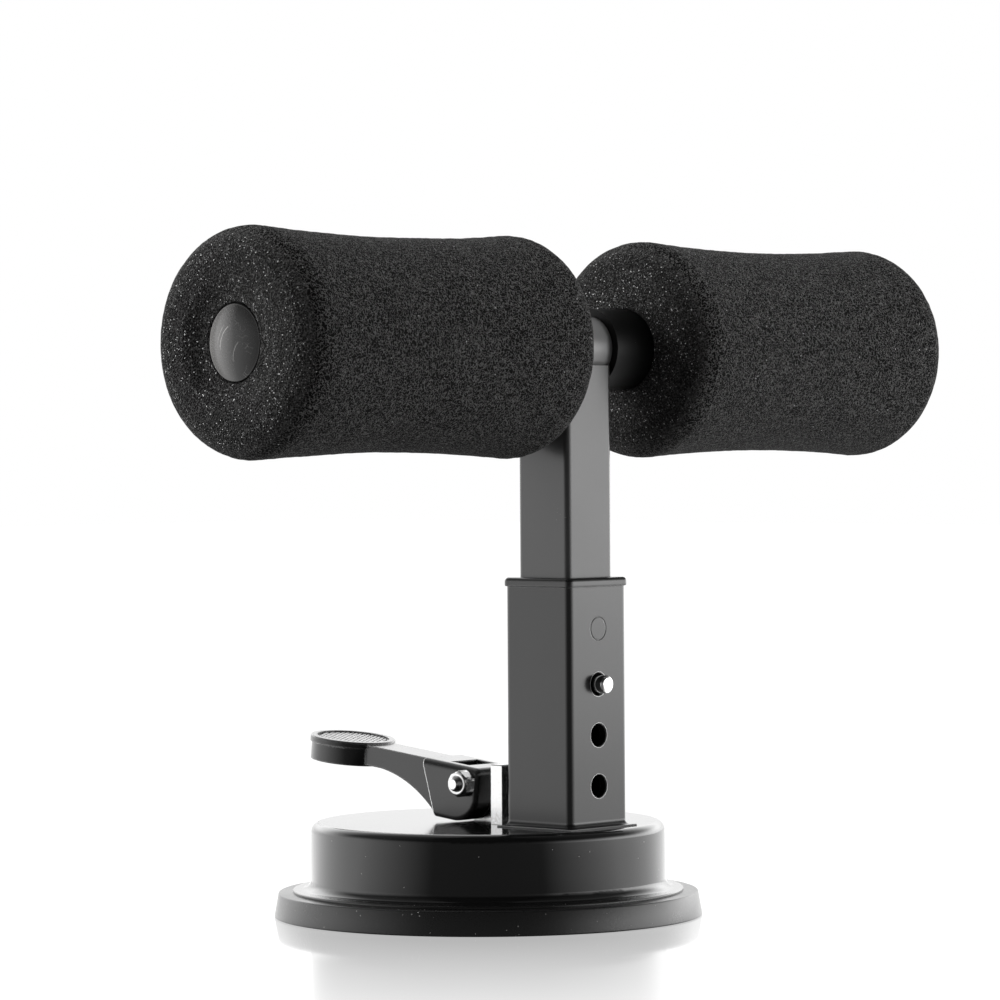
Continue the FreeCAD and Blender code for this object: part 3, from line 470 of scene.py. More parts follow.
def make_floor_material():
    material = bpy.data.materials.new("floor_white")
    material.use_nodes = True
    tree = material.node_tree
    tree.nodes.clear()
    place = add(tree, "ShaderNodeTexCoord").outputs["Object"]
    away = vector_node(tree, "LENGTH", place)
    rays = add(tree, "ShaderNodeLightPath").outputs
    white = add(tree, "ShaderNodeEmission", {"Color": grey(1.0), "Strength": 1.0}).outputs[0]
    inputs = {"Color": grey(1.0), "Roughness": FLOOR_ROUGHNESS}
    mirror = add(tree, "ShaderNodeBsdfGlossy", inputs).outputs[0]
    share = remap(tree, away, MIRROR_FROM, MIRROR_TO, MIRROR_NEAR, MIRROR_FAR)
    seen = add(tree, "ShaderNodeMixShader", {0: share, 1: white, 2: mirror}).outputs[0]
    inputs = {"Direction": place, "Angle Share": FLOOR_ANGLE_SHARE}
    room = use_group(tree, studio_group, inputs)
    reach = remap(tree, away, RIGHT_REACH_FROM, RIGHT_REACH_TO, 0.0, RIGHT_GAIN)
    gain = math_node(tree, "MULTIPLY_ADD", room["Right"], reach, 1.0)
    mirrored = times(tree, room["Level"], gain)
    strength = mix_numbers(tree, rays["Is Glossy Ray"], FLOOR_GLOW, mirrored)
    lit = add(tree, "ShaderNodeEmission", {"Color": grey(1.0), "Strength": strength}).outputs[0]
    both = add(tree, "ShaderNodeMixShader", {0: rays["Is Camera Ray"], 1: lit, 2: seen})
    add(tree, "ShaderNodeOutputMaterial", {"Surface": both.outputs[0]})
    return material


def make_floor():
    corners = np.array([[-1, -1, 0], [1, -1, 0], [1, 1, 0], [-1, 1, 0]], float) * FLOOR_HALF
    corners[:, 2] = -FLOOR_DROP
    mesh = bpy.data.meshes.new("floor")
    mesh.from_pydata(corners.tolist(), [], [(0, 1, 2, 3)])
    mesh.materials.append(make_floor_material())
    put("floor", mesh)
    print("floor:", 2 * FLOOR_HALF, "m wide")


make_floor()

# %% [markdown]
# Three soft boxes shape the foam: one at each side, level with the rollers, and a weaker one
# overhead. Foam that faces the camera gets little of them, which makes the dark shoulder between a
# roller's end and its barrel. Mirror rays don't see the lamps, because the room has its screens.

# %% Lamps
LAMP_TARGET = np.array([0.0, -0.03, 0.17])
LAMPS = {
    "right_softbox": ((0.609, -0.793, -0.12), 0.80, 0.5, 7.0),
    "left_softbox": ((-0.80, 0.62, 0.30), 0.80, 0.5, 7.8),
    "top_softbox": ((0.10, 0.20, 1.0), 1.00, 0.7, 6.0),
}


def make_lamps():
    """Each lamp has a direction, a distance, a size and a power, and looks at the rollers."""
    for name, (way, distance, size, power) in LAMPS.items():
        direction = np.array(way) / np.linalg.norm(way)
        side = np.cross((0.0, 0.0, 1.0), direction)
        side = side / np.linalg.norm(side)
        matrix = np.eye(4)
        matrix[:3, 0] = side
        matrix[:3, 1] = np.cross(direction, side)
        matrix[:3, 2] = direction
        matrix[:3, 3] = LAMP_TARGET + direction * distance
        data = bpy.data.lights.new(name, "AREA")
        data.size = size
        data.energy = power
        lamp = put(name, data)
        lamp.matrix_world = Matrix(matrix.tolist())
        lamp.visible_camera = False
        lamp.visible_glossy = False
    print("lamps:", sorted(LAMPS))


make_lamps()


# %% [markdown]
# ## Finishes of the rigid pieces
# The post sleeve is satin moulded plastic, the tubes are powder coated, the base and the lever are
# gloss plastic, and the small hardware is plated. All of them are nearly black by themselves. What
# makes a face grey is what it mirrors, so the work goes into roughness, a fine bump and the edges.
# Three places are painted paler than the rest, as painted highlights for the light they catch:
# the rims of the button's holes, the back edge of the lever's head, and the cross bar.

# %% Black plastics
RUB_SHARE = 0.6
# Grey of the painted highlights on the hole rims, the lever head's back edge and the cross bar.
PAINTED_HIGHLIGHT_GREY = 0.70
DUST_GREY = grey(0.30, 0.02)
DUST_SHARE = 0.7
DUST_DULL = 0.4
DUST_SCALE = 1000.0
DUST_SIZE = 0.2
WAVE_SCALE = 45.0
PATCHES = (0.85, 1.15)


def plastic(
    name, level, roughness, grain, grain_scale,
    wave_share=0.5, edge=0.3, rubbed=0.02, dust=0.0, ior=1.5, highlight_places=None,
):
    """Moulded plastic: grain as bump, edges rounded over edge mm and rubbed to a paler grey, and
    some dust specks, which are pale and dull. A function can name places with a painted highlight."""
    material, tree, shader = new_material(name, grey(level), roughness, IOR=ior)
    place = object_place(tree)
    inputs = {"Grain Scale": grain_scale, "Wave Scale": WAVE_SCALE, "Wave Share": wave_share}
    height = use_group(tree, grain_group, {"Vector": place, **inputs})["Height"]
    bump = bump_node(tree, grain * MM, height)
    worn = use_group(tree, edge_group, {"Radius": edge * MM, "Normal": bump})
    inputs = {"Vector": place, "Scale": DUST_SCALE, "Share": dust, "Size": DUST_SIZE}
    specks = use_group(tree, dust_and_glint_group, inputs)["Mask"]
    rub = times(tree, worn["Mask"], RUB_SHARE)
    colour = mix_colour(tree, rub, grey(level), grey(rubbed))
    # Painted highlights: the marked places are painted pale for the light that they catch.
    if highlight_places is not None:
        colour = mix_colour(tree, highlight_places(tree, place), colour, grey(PAINTED_HIGHLIGHT_GREY))
    dusty = times(tree, specks, DUST_SHARE)
    colour = mix_colour(tree, dusty, colour, DUST_GREY)
    patchy = remap(tree, height, 0.3, 0.7, *(roughness * share for share in PATCHES))
    dull = math_node(tree, "MULTIPLY_ADD", specks, DUST_DULL, patchy)
    feed(tree, shader, {"Base Color": colour, "Normal": worn["Normal"], "Roughness": dull})
    return material


# %% Painted highlights
HOLE_PITCH = 16.9 * MM
HOLES = 3
# Radius of the holes' rims, and the width and depth of their painted highlight.
HOLE_RIM_RADIUS = 4.0 * MM
HOLE_HIGHLIGHT_WIDTH = 0.4 * MM
HOLE_HIGHLIGHT_DEPTH = 2.2 * MM


def hole_rim_highlight(tree, place):
    """A painted highlight round each hole's rim. The mask is where the distance from the hole's
    axis, seen from the front, is nearly the rim's radius, on the front face alone."""
    low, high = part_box("snap_button")
    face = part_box("post_sleeve")[0].y
    total = 0.0
    for number in range(HOLES):
        centre = ((low.x + high.x) / 2, 0.0, (low.z + high.z) / 2 - number * HOLE_PITCH)
        distance = flat_distance(tree, place, centre, (1, 0, 1))
        off = gap(tree, distance, HOLE_RIM_RADIUS)
        ring = remap(tree, off, HOLE_HIGHLIGHT_WIDTH * 0.3, HOLE_HIGHLIGHT_WIDTH * 0.7, 1.0, 0.0)
        total = math_node(tree, "ADD", ring, total)
    front = math_node(tree, "LESS_THAN", component(tree, place, "Y"), face + HOLE_HIGHLIGHT_DEPTH)
    return times(tree, total, front)


# Line, width and faces of the painted highlight on the back edge of the lever's head.
HEAD_EDGE_TOP = (20.95 * MM, 52.88 * MM)
HEAD_EDGE_HEEL = (15.25 * MM, 33.11 * MM)
HEAD_EDGE_WIDTH = 0.6 * MM
HEAD_EDGE_SIDE = 10.0 * MM


def head_edge_highlight(tree, place):
    """A painted highlight on the sloping back edge of the lever's head, where the arm steps in. The
    mask is a strip along a straight line in the lever's side view, on the head's two outer faces."""
    along = np.subtract(HEAD_EDGE_TOP, HEAD_EDGE_HEEL)
    across = (0.0, along[1] / np.linalg.norm(along), -along[0] / np.linalg.norm(along))
    start = (0.0, *HEAD_EDGE_HEEL)
    off = vector_node(tree, "DOT_PRODUCT", vector_node(tree, "SUBTRACT", place, start), across)
    off = gap(tree, off, -HEAD_EDGE_WIDTH * 0.4)
    strip = remap(tree, off, HEAD_EDGE_WIDTH * 0.35, HEAD_EDGE_WIDTH * 0.6, 1.0, 0.0)
    side = math_node(tree, "ABSOLUTE", component(tree, place, "X"))
    return times(tree, strip, math_node(tree, "GREATER_THAN", side, HEAD_EDGE_SIDE))


BAR_Y = -35.9 * MM
BAR_Z = 191.0 * MM
# Share of the painted light that makes the bar paler than the tube.
BAR_PAINTED_LIGHT = 0.2
BAR_SKIN = 0.05 * MM


def bar_painted_light(tree, place):
    """Painted light: the bar is painted paler than the tube, for the reflection it shows. The mask
    is the inside of the bar's own radius.
    """
    low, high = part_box("cross_bar")
    reach = (high.z - low.z) / 2 + BAR_SKIN
    distance = flat_distance(tree, place, (0, BAR_Y, BAR_Z), (0, 1, 1))
    return times(tree, math_node(tree, "LESS_THAN", distance, reach), BAR_PAINTED_LIGHT)


# %% Plastic finishes
FINISHES = {
    "housing_gloss": plastic(
        "housing_gloss", 0.004, 0.10, 0.006, 900.0, wave_share=0.8, dust=0.008
    ),
    "lever_gloss": plastic(
        "lever_gloss", 0.005, 0.20, 0.006, 1200.0,
        wave_share=0.6, edge=0.8, rubbed=0.40, highlight_places=head_edge_highlight,
    ),
    "sleeve_plastic": plastic(
        "sleeve_plastic", 0.005, 0.20, 0.006, 2200.0, edge=0.5, rubbed=0.30, highlight_places=hole_rim_highlight
    ),
    "tube_paint": plastic(
        "tube_paint", 0.030, 0.24, 0.012, 1100.0, rubbed=0.08, highlight_places=bar_painted_light
    ),
    "black_plastic": plastic("black_plastic", 0.002, 0.42, 0.020, 1500.0, dust=0.01, ior=1.32),
    "cup_rubber": plastic("cup_rubber", 0.007, 0.30, 0.030, 1300.0, dust=0.05),
}
print("plastics:", sorted(FINISHES))


# %% [markdown]
# The end caps are satin plastic that has been handled. Two close scratches curve down one side of
# the dome, and a fainter one crosses the other side. Each cap is painted paler towards +Y and
# darker towards -Y, as painted light and shade. A scratch is a part of a thin circle: its mask is
# where the distance from the circle's centre is nearly the radius, on one side of the centre.

# %% End cap
def make_arc_group():
    """A curved scratch across the piece's end, as a mask. Along is left out of the distances."""
    group, given, result = new_group(
        "arc_scratch",
        {
            "Vector": VECTOR,
            "Centre": VECTOR,
            "Radius": 0.01,
            "Width": 0.0001,
            "Way": VECTOR,
            "Reach": 0.8,
        },
        {"Mask": NUMBER},
    )
    away = vector_node(group, "SUBTRACT", given["Vector"], given["Centre"])
    away = vector_node(group, "MULTIPLY", away, (0, 1, 1))
    distance = vector_node(group, "LENGTH", away)
    side = vector_node(group, "DOT_PRODUCT", vector_node(group, "NORMALIZE", away), given["Way"])
    off = gap(group, distance, given["Radius"])
    line = remap(group, math_node(group, "DIVIDE", off, given["Width"]), 0.5, 1.0, 1.0, 0.0)
    near = remap(group, math_node(group, "SUBTRACT", side, given["Reach"]), 0.0, 0.05)
    group.links.new(times(group, line, near), result["Mask"])
    return group


# %% Cap values
CAP_GREY = 0.008
# Painted shade and painted light across the cap, then the grey of the scratches.
CAP_SHADED = grey(0.006, 0.02)
CAP_PAINTED_LIT = grey(0.16, 0.02)
CAP_SCRATCHED = grey(0.40, 0.02)
CAP_ROUGHNESS = 0.26
CAP_GRAIN = 0.02 * MM
CAP_GROOVE = 0.05 * MM
CAP_LIT_FROM = BAR_Y - 2.0 * MM
CAP_LIT_TO = BAR_Y + 13.0 * MM
SCRATCH_WIDTH = 0.22 * MM
CAP_SCRATCHES = [
    # centre from the bar's axis and radius in mm, direction in degrees, reach, depth
    ((-3.5, -2.0), 8.3, 28, 0.86, 1.0),
    ((-3.5, -2.0), 9.9, 28, 0.93, 0.7),
    ((-9.5, -6.0), 8.2, 24, 0.90, 0.35),
]


# %% Cap plastic
def make_cap_plastic():
    """Painted shade turns to painted light along Y. Arcs and fine scuffs are paler and sunk."""
    arc_group = make_arc_group()
    material, tree, shader = new_material("cap_plastic", grey(CAP_GREY), CAP_ROUGHNESS, IOR=1.4)
    place = object_place(tree)
    scratch = 0.0
    for (across, up), radius, way, reach, depth in CAP_SCRATCHES:
        turn = math.radians(way)
        inputs = {
            "Vector": place,
            "Centre": (0.0, BAR_Y + across * MM, BAR_Z + up * MM),
            "Radius": radius * MM,
            "Width": SCRATCH_WIDTH,
            "Way": (0.0, math.cos(turn), math.sin(turn)),
            "Reach": reach,
        }
        arc = use_group(tree, arc_group, inputs)["Mask"]
        scratch = math_node(tree, "ADD", times(tree, arc, depth), scratch)
    inputs = {"Vector": place, "Scale": 420.0, "Width": 0.010, "Share": 0.40}
    scuff = use_group(tree, scratch_group, inputs)["Mask"]
    scratch = math_node(tree, "MAXIMUM", scratch, times(tree, scuff, 0.2))
    inputs = {"Vector": place, "Grain Scale": 1800.0, "Wave Scale": 140.0, "Wave Share": 0.4}
    height = use_group(tree, grain_group, inputs)["Height"]
    grain = bump_node(tree, CAP_GRAIN, height)
    groove = bump_node(tree, CAP_GROOVE, scratch, Normal=grain)
    # Painted light and shade: darker towards -Y, paler towards +Y.
    lit_share = remap(tree, component(tree, place, "Y"), CAP_LIT_FROM, CAP_LIT_TO)
    lit_and_shaded = mix_colour(tree, lit_share, CAP_SHADED, CAP_PAINTED_LIT)
    share = times(tree, scratch, 0.7)
    colour = mix_colour(tree, share, lit_and_shaded, CAP_SCRATCHED)
    patchy = remap(tree, height, 0.3, 0.7, 0.20, 0.32)
    feed(tree, shader, {"Base Color": colour, "Normal": groove, "Roughness": patchy})
    return material


FINISHES["cap_plastic"] = make_cap_plastic()


# %% [markdown]
# Plated steel is a metal whose roughness varies: a cloudy zinc finish on the screws, nut and stop
# plate, a bright one on the button, and fine drawn lines along the strip spring.

# %% Metals
METAL_EDGE = 0.25 * MM


def metal(name, level, roughness, cloud_scale, bump_depth, stretch=(1, 1, 1)):
    """Plated metal. One noise makes its roughness cloudy, tints it and gives it a faint relief."""
    material, tree, shader = new_material(name, grey(level, -0.01), roughness, Metallic=1.0)
    place = object_place(tree, scale=stretch)
    cloud = noise(tree, place, cloud_scale, 3.0)
    cloudy = remap(tree, cloud, 0.3, 0.7, roughness * 0.7, roughness * 1.4)
    share = remap(tree, cloud, 0.35, 0.65)
    tint = mix_colour(tree, share, grey(level * 0.86, 0.01), grey(level, -0.01))
    bump = bump_node(tree, bump_depth, cloud)
    edge = use_group(tree, edge_group, {"Radius": METAL_EDGE, "Normal": bump})
    feed(tree, shader, {"Base Color": tint, "Normal": edge["Normal"], "Roughness": cloudy})
    return material


FINISHES["chrome"] = metal("chrome", 0.82, 0.06, 300.0, 0.04 * MM)
FINISHES["zinc"] = metal("zinc", 0.60, 0.18, 900.0, 0.003 * MM)
FINISHES["spring_steel"] = metal(
    "spring_steel", 0.45, 0.30, 400.0, 0.006 * MM, stretch=(6, 1, 0.4)
)


# %% [markdown]
# ## Foam finish
# The rollers are black foam with two faces. The barrel is a moulded skin with fine worm-like
# ridges, less than a millimetre apart: they are where a noise is close to its middle value. The
# ridges and the cut face's cell walls are painted paler than the black hollows, as painted
# highlight and shade. The ends are cut, and the light caught by their open cells is painted in as
# white points. An attribute on the mesh says how much of each face a point has.

# %% Foam
WORM_SCALE = 1100.0
WORM_WIDTH = 0.095
CELL_SCALE = 1650.0
FOAM_DEPTH = 0.35 * MM
RIDGE_POWER = 1.5
FOAM_GREY = 0.022
FOAM_BLACK = 0.003
# Painted highlight on the ridges and cell walls; the hollows stay black, as painted shade.
BARREL_RIDGE_HIGHLIGHT = 0.145
CUT_RIDGE_HIGHLIGHT = 0.045
# Painted glints: pale specks that stand in for the light that the open cells catch.
GLINT_GREY = 0.17
BRIGHT_GLINT_GREY = 0.50
SPECKS = {
    # scale, share of the cells, size
    "glints": (1700.0, 0.30, 0.32),
    "bright": (1350.0, 0.06, 0.30),
    "rare_glints": (1100.0, 0.008, 0.24),
}


def make_foam():
    """Ridges where the noise is near its middle and open cells on the cut face, painted paler as
    highlights, and pale specks as painted glints.
    """
    values = {"IOR": 1.45, "Specular_IOR_Level": 0.1}
    material, tree, shader = new_material("foam", grey(FOAM_GREY), 0.9, **values)
    place = object_place(tree)
    cut = add(tree, "ShaderNodeAttribute", None, attribute_name="cut_face").outputs["Fac"]
    off = gap(tree, noise(tree, place, WORM_SCALE, 1.0), NOISE_MIDDLE)
    worms = remap(tree, off, 0.0, WORM_WIDTH, 1.0, 0.0)
    cells = add(tree, "ShaderNodeTexVoronoi", {"Vector": place, "Scale": CELL_SCALE})
    open_cells = remap(tree, cells.outputs["Distance"], 0.15, 0.75)
    height = mix_numbers(tree, cut, worms, open_cells)
    bump = bump_node(tree, FOAM_DEPTH, height, strength=0.9)
    # Painted highlight and shade: paler ridges and cell walls, black hollows.
    ridge_highlight = mix_colour(tree, cut, grey(BARREL_RIDGE_HIGHLIGHT, 0.01), grey(CUT_RIDGE_HIGHLIGHT, 0.01))
    share = math_node(tree, "POWER", height, RIDGE_POWER)
    black = mix_colour(tree, share, grey(FOAM_BLACK), ridge_highlight)
    masks = {}
    for name, (scale, part, size) in SPECKS.items():
        inputs = {"Vector": place, "Scale": scale, "Share": part, "Size": size}
        masks[name] = use_group(tree, dust_and_glint_group, inputs)["Mask"]
    # Painted glints: many on the cut face, and rare ones over the whole roller.
    glints = times(tree, masks["glints"], cut)
    bright = times(tree, masks["bright"], cut)
    bright = math_node(tree, "MAXIMUM", bright, masks["rare_glints"])
    specked = mix_colour(tree, glints, black, grey(GLINT_GREY))
    specked = mix_colour(tree, bright, specked, grey(BRIGHT_GLINT_GREY))
    feed(tree, shader, {"Base Color": specked, "Normal": bump})
    return material


FINISHES["foam"] = make_foam()
print("finishes:", sorted(FINISHES))

# %% [markdown]
# ## Dressing the model's pieces
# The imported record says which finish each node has, by the name of a material slot.

# %% Assign the finishes
for row in frame["record"]["subparts"]:
    node = frame["nodes"][row["node"]]
    for slot in node.material_slots:
        slot.material = FINISHES[row["material_slot"]]


# %% [markdown]
# ## Surfaces from grids of points
# Every new piece below is a grid of points worked out with whole numpy arrays: rows run along the
# piece, columns run round it. One helper turns a grid into a mesh, and closes it on itself in one
# or both directions.

# %% Grid to mesh
def mesh_from_grid(name, grid, finish, body, close_rows=False, merge=0.0):
    """Four neighbouring points make a face; columns always close on themselves. Rows that meet in
    one point are merged, so that a pole is closed."""
    rows, columns = grid.shape[:2]
    row = np.arange(rows if close_rows else rows - 1)[:, None]
    column = np.arange(columns)[None, :]
    next_row = (row + 1) % rows
    next_column = (column + 1) % columns
    faces = np.stack(
        [
            row * columns + column,
            row * columns + next_column,
            next_row * columns + next_column,
            next_row * columns + column,
        ],
        axis=-1,
    ).reshape(-1, 4)
    mesh = bpy.data.meshes.new(name)
    mesh.vertices.add(rows * columns)
    mesh.vertices.foreach_set("co", grid.astype(np.float32).ravel())
    mesh.loops.add(faces.size)
    mesh.loops.foreach_set("vertex_index", faces.astype(np.int32).ravel())
    mesh.polygons.add(len(faces))
    mesh.polygons.foreach_set("loop_start", (np.arange(len(faces)) * 4).astype(np.int32))
    mesh.update(calc_edges=True)
    mesh.validate()
    if merge > 0:
        close_poles(mesh, merge)
    mesh.shade_smooth()
    mesh.materials.append(FINISHES[finish])
    piece = put(name, mesh)
    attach(piece, body)
    print(f"{name}: {rows} x {columns} points, {len(mesh.polygons)} faces")
    return piece


def close_poles(mesh, distance):
    """Merges points that are nearer than the distance, and points every face outwards."""
    work = bmesh.new()
    work.from_mesh(mesh)
    bmesh.ops.remove_doubles(work, verts=work.verts, dist=distance)
    bmesh.ops.recalc_face_normals(work, faces=work.faces)
    work.to_mesh(mesh)
    work.free()


def turned(profile, steps, axis, centre):
    """A surface of revolution: a point (along, radius) of the profile goes to centre + along * axis
    + radius * (cos * first + sin * second), for evenly spaced angles of a full turn."""
    axis = np.asarray(axis, float)
    first = np.roll(axis, 1)
    second = np.cross(axis, first)
    angles = np.linspace(0.0, 2 * np.pi, steps, endpoint=False)
    round_axis = np.cos(angles)[:, None] * first + np.sin(angles)[:, None] * second
    along = profile[:, 0][:, None, None] * axis
    return np.asarray(centre, float) + along + profile[:, 1][:, None, None] * round_axis[None]


def evenly(points, spacing, closed=False):
    """The same line through the points, with new points at even lengths along it: each coordinate
    is read off, straight between the old points, at that length."""
    line = np.vstack([points, points[:1]]) if closed else points
    steps = np.linalg.norm(np.diff(line, axis=0), axis=1)
    lengths = np.concatenate([[0.0], np.cumsum(steps)])
    count = max(int(round(lengths[-1] / spacing)), 3)
    wanted = np.linspace(0.0, lengths[-1], count + (0 if closed else 1), endpoint=not closed)
    return np.stack([np.interp(wanted, lengths, column) for column in line.T], axis=1)


# %% [markdown]
# ## Foam rollers
# A roller is a surface of revolution with a shallow waist, rounded shoulders and a bore for the
# plastic sleeve that it turns on. Past the sleeve's end the bore closes on the cap, and the outer
# face dips towards it, more on one side than on the other. Foam is never exact, so the surface then
# gets a relief: a slow swell, and small lumps that show on the outline. Random values on a cubic
# lattice, blended smoothly between its points, give such a relief with no seam.

# %% Lattice noise
LATTICE = 32


def lattice_noise(points, cell, seed):
    """Values from -1 to 1 that change smoothly over a length of one cell. Each point takes the
    eight lattice values round it, weighted by s * s * (3 - 2 * s) of its place between them."""
    table = np.random.default_rng(seed).uniform(-1.0, 1.0, (LATTICE, LATTICE, LATTICE))
    place = points / cell
    corner = np.floor(place).astype(int)
    share = place - corner
    share = share * share * (3 - 2 * share)
    total = np.zeros(points.shape[:-1])
    for step in np.ndindex(2, 2, 2):
        index = (corner + step) % LATTICE
        weight = np.prod(np.where(np.array(step) == 1, share, 1 - share), axis=-1)
        total += weight * table[index[..., 0], index[..., 1], index[..., 2]]
    return total


# %% Roller shape
FOAM_WAIST = 2.2 * MM
FOAM_CORNER = 9.9 * MM
FOAM_BORE_EDGE = 0.9 * MM
FOAM_SPACING = 0.62 * MM
FOAM_SWELL = 0.22 * MM
FOAM_LUMPS = 0.10 * MM
SWELL_CELL = 24.0 * MM
LUMP_CELL = 2.1 * MM
SMALL_LUMP_CELL = 1.2 * MM
CORNER_STEPS = 24


def quarter(centre, radius, start, end):
    """A quarter turn as (along, radius) points, from one angle in degrees to another."""
    angles = np.radians(np.linspace(start, end, CORNER_STEPS))
    return np.array(centre) + radius * np.stack([np.cos(angles), np.sin(angles)], axis=1)


def roller_profile(half, radius, bore):
    """The closed outline in (along, radius), with the roller's middle at zero: bore, rounded
    mouth, end, shoulder, and the waist as an arc of radius (w^2 + d^2) / (2 * d) between the
    shoulders, for half its width w and its depth d."""
    end = [
        quarter((half - FOAM_BORE_EDGE, bore + FOAM_BORE_EDGE), FOAM_BORE_EDGE, -90, 0),
        quarter((half - FOAM_CORNER, radius - FOAM_CORNER), FOAM_CORNER, 0, 90),
    ]
    flat = half - FOAM_CORNER
    waist_radius = (flat**2 + FOAM_WAIST**2) / (2 * FOAM_WAIST)
    along = np.linspace(flat, -flat, 60)
    waist = radius - FOAM_WAIST + waist_radius - np.sqrt(waist_radius**2 - along**2)
    first = np.vstack(end)
    mirrored = first[::-1] * (-1, 1)
    return np.vstack([first, np.stack([along, waist], axis=1), mirrored])


def smooth_step(amount):
    """0 below 0, 1 above 1, and s * s * (3 - 2 * s) between them."""
    share = np.clip(amount, 0.0, 1.0)
    return share * share * (3 - 2 * share)


# %% Roller mouth
MOUTH_DIP = 2.5 * MM
MOUTH_LEAN = 1.5 * MM
MOUTH_REACH = 9.0 * MM
MOUTH_CLOSE = 0.9 * MM
CLOSE_REACH = 3.0 * MM
CLOSE_STEEPNESS = 1.6
SLEEVE_END_DEPTH = 5.4 * MM


def close_mouth(grid, centre, half, bore, outward):
    """The dip is (dip + lean * cos) * (1 - step(from the bore)) * (1 - step(depth)), along the
    bar, and the bore closes by a fixed amount past the sleeve's end."""
    away = (grid - centre)[..., 1:]
    radius = np.linalg.norm(away, axis=-1)
    cosine = away[..., 0] / radius
    depth = half - outward * (grid[..., 0] - centre[0])
    fade = 1 - smooth_step(depth / MOUTH_REACH)
    near_mouth = 1 - smooth_step((radius - bore) / MOUTH_REACH)
    dip = (MOUTH_DIP + MOUTH_LEAN * cosine) * near_mouth * fade
    near_bore = 1 - smooth_step((radius - bore) / CLOSE_REACH)
    past_sleeve = smooth_step(CLOSE_STEEPNESS * (1 - depth / SLEEVE_END_DEPTH))
    close = MOUTH_CLOSE * near_bore * past_sleeve
    moved = grid.copy()
    moved[..., 0] -= outward * dip
    moved[..., 1:] = centre[1:] + away * (1 - close / radius)[..., None]
    return moved


# %% Both rollers
def make_roller(side):
    """The profile turned round the bar, moved away from the axis by swell plus lumps, by nothing at
    the bore and in full at the barrel. The cut face's share goes from 0 to 1 over the shoulder."""
    low, high, centre = box_of(f"foam_roller_{side}")
    core_low, core_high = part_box(f"core_sleeve_{side}")
    half = (high[0] - low[0]) / 2
    radius = (high[2] - low[2]) / 2 - (FOAM_SWELL + FOAM_LUMPS) / 2
    bore = (core_high.z - core_low.z) / 2
    profile = evenly(roller_profile(half, radius, bore), FOAM_SPACING, closed=True)
    grid = turned(profile, int(2 * np.pi * radius / FOAM_SPACING), (1, 0, 0), centre)
    depth = np.clip((profile[:, 1] - bore) / (radius - bore), 0, 1)[:, None]
    swell = lattice_noise(grid, SWELL_CELL, 3) * FOAM_SWELL
    lumps = lattice_noise(grid, LUMP_CELL, 5) * FOAM_LUMPS
    lumps = lumps + lattice_noise(grid, SMALL_LUMP_CELL, 8) * FOAM_LUMPS * 0.6
    from_axis = grid - centre
    from_axis[..., 0] = 0.0
    from_axis /= np.maximum(np.linalg.norm(from_axis, axis=-1, keepdims=True), 1e-9)
    grid = grid + from_axis * ((swell + lumps) * depth)[..., None]
    grid = close_mouth(grid, centre, half, bore, -1 if side == "left" else 1)
    piece = mesh_from_grid(f"foam_{side}", grid, "foam", f"{side}_roller", close_rows=True)
    past = np.abs(profile[:, 0]) - (half - FOAM_CORNER * 0.45)
    shoulder = np.clip(past / (FOAM_CORNER * 0.3), 0, 1)
    attribute = piece.data.attributes.new("cut_face", "FLOAT", "POINT")
    attribute.data.foreach_set("value", np.repeat(shoulder, grid.shape[1]).astype(np.float32))
    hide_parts(f"foam_roller_{side}")


for side in ("left", "right"):
    make_roller(side)


# %% [markdown]
# ## Suction cup
# The cup is one rubber moulding, and it is the only piece that bends: its ring stays on the floor,
# its hub goes down with the stud, and the membrane between them is pushed flat. So it is three
# surfaces that meet inside each other. The ring and the membrane ride on the base, and the hub
# rides on the stud.

# %% Cup shapes
CUP_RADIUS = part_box("suction_cup")[1].x
CUP_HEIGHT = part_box("base_housing")[0].z
CUP_DRAFT = 1.5 * MM
CUP_INSIDE = 57.0 * MM
CUP_EDGE = 0.8 * MM
DOME_HEIGHT = 9.0 * MM
MEMBRANE = 3.2 * MM
MEMBRANE_FOOT = 0.6 * MM
HUB_RADIUS = 20.0 * MM
HUB_TOP = 17.0 * MM
CUP_STEPS = 256


def rounded(points, radius, steps=5):
    """A closed outline whose corners are cut and then rounded by a quadratic curve: a corner c
    between a and b becomes (1-s)^2 a + 2 s (1-s) c + s^2 b, with a and b one radius away."""
    points = np.asarray(points, float)
    before = np.roll(points, 1, axis=0) - points
    after = np.roll(points, -1, axis=0) - points
    first = points + before / np.linalg.norm(before, axis=1, keepdims=True) * radius
    last = points + after / np.linalg.norm(after, axis=1, keepdims=True) * radius
    share = np.linspace(0.0, 1.0, steps)[None, :, None]
    curve = first[:, None] * (1 - share) ** 2 + last[:, None] * share**2
    curve = curve + 2 * points[:, None] * share * (1 - share)
    return curve.reshape(-1, 2)


def ring_outline():
    """Outside with a draft, flat top, and an inside that slopes out towards the floor."""
    foot = CUP_RADIUS
    shoulder = CUP_RADIUS - CUP_DRAFT
    return rounded(
        [
            (0.0, foot),
            (CUP_HEIGHT, shoulder),
            (CUP_HEIGHT, CUP_INSIDE - 1.5 * MM),
            (CUP_HEIGHT * 0.4, CUP_INSIDE - 1.5 * MM),
            (0.0, CUP_INSIDE + 1.5 * MM),
        ],
        CUP_EDGE * 0.6,
    )


def membrane_outline():
    """Two curves from the hub to the ring: the height falls as the cosine of the way along."""
    way = np.linspace(0.0, 1.0, 40)
    inner = HUB_RADIUS - 3.0 * MM
    outer = CUP_INSIDE + 1.0 * MM
    radius = inner + (outer - inner) * way
    fall = (1 + np.cos(np.pi * way)) / 2
    under = np.stack([MEMBRANE_FOOT + (DOME_HEIGHT - MEMBRANE_FOOT) * fall, radius], axis=1)
    over = under + (MEMBRANE, 0.0)
    return np.vstack([under, over[::-1]])


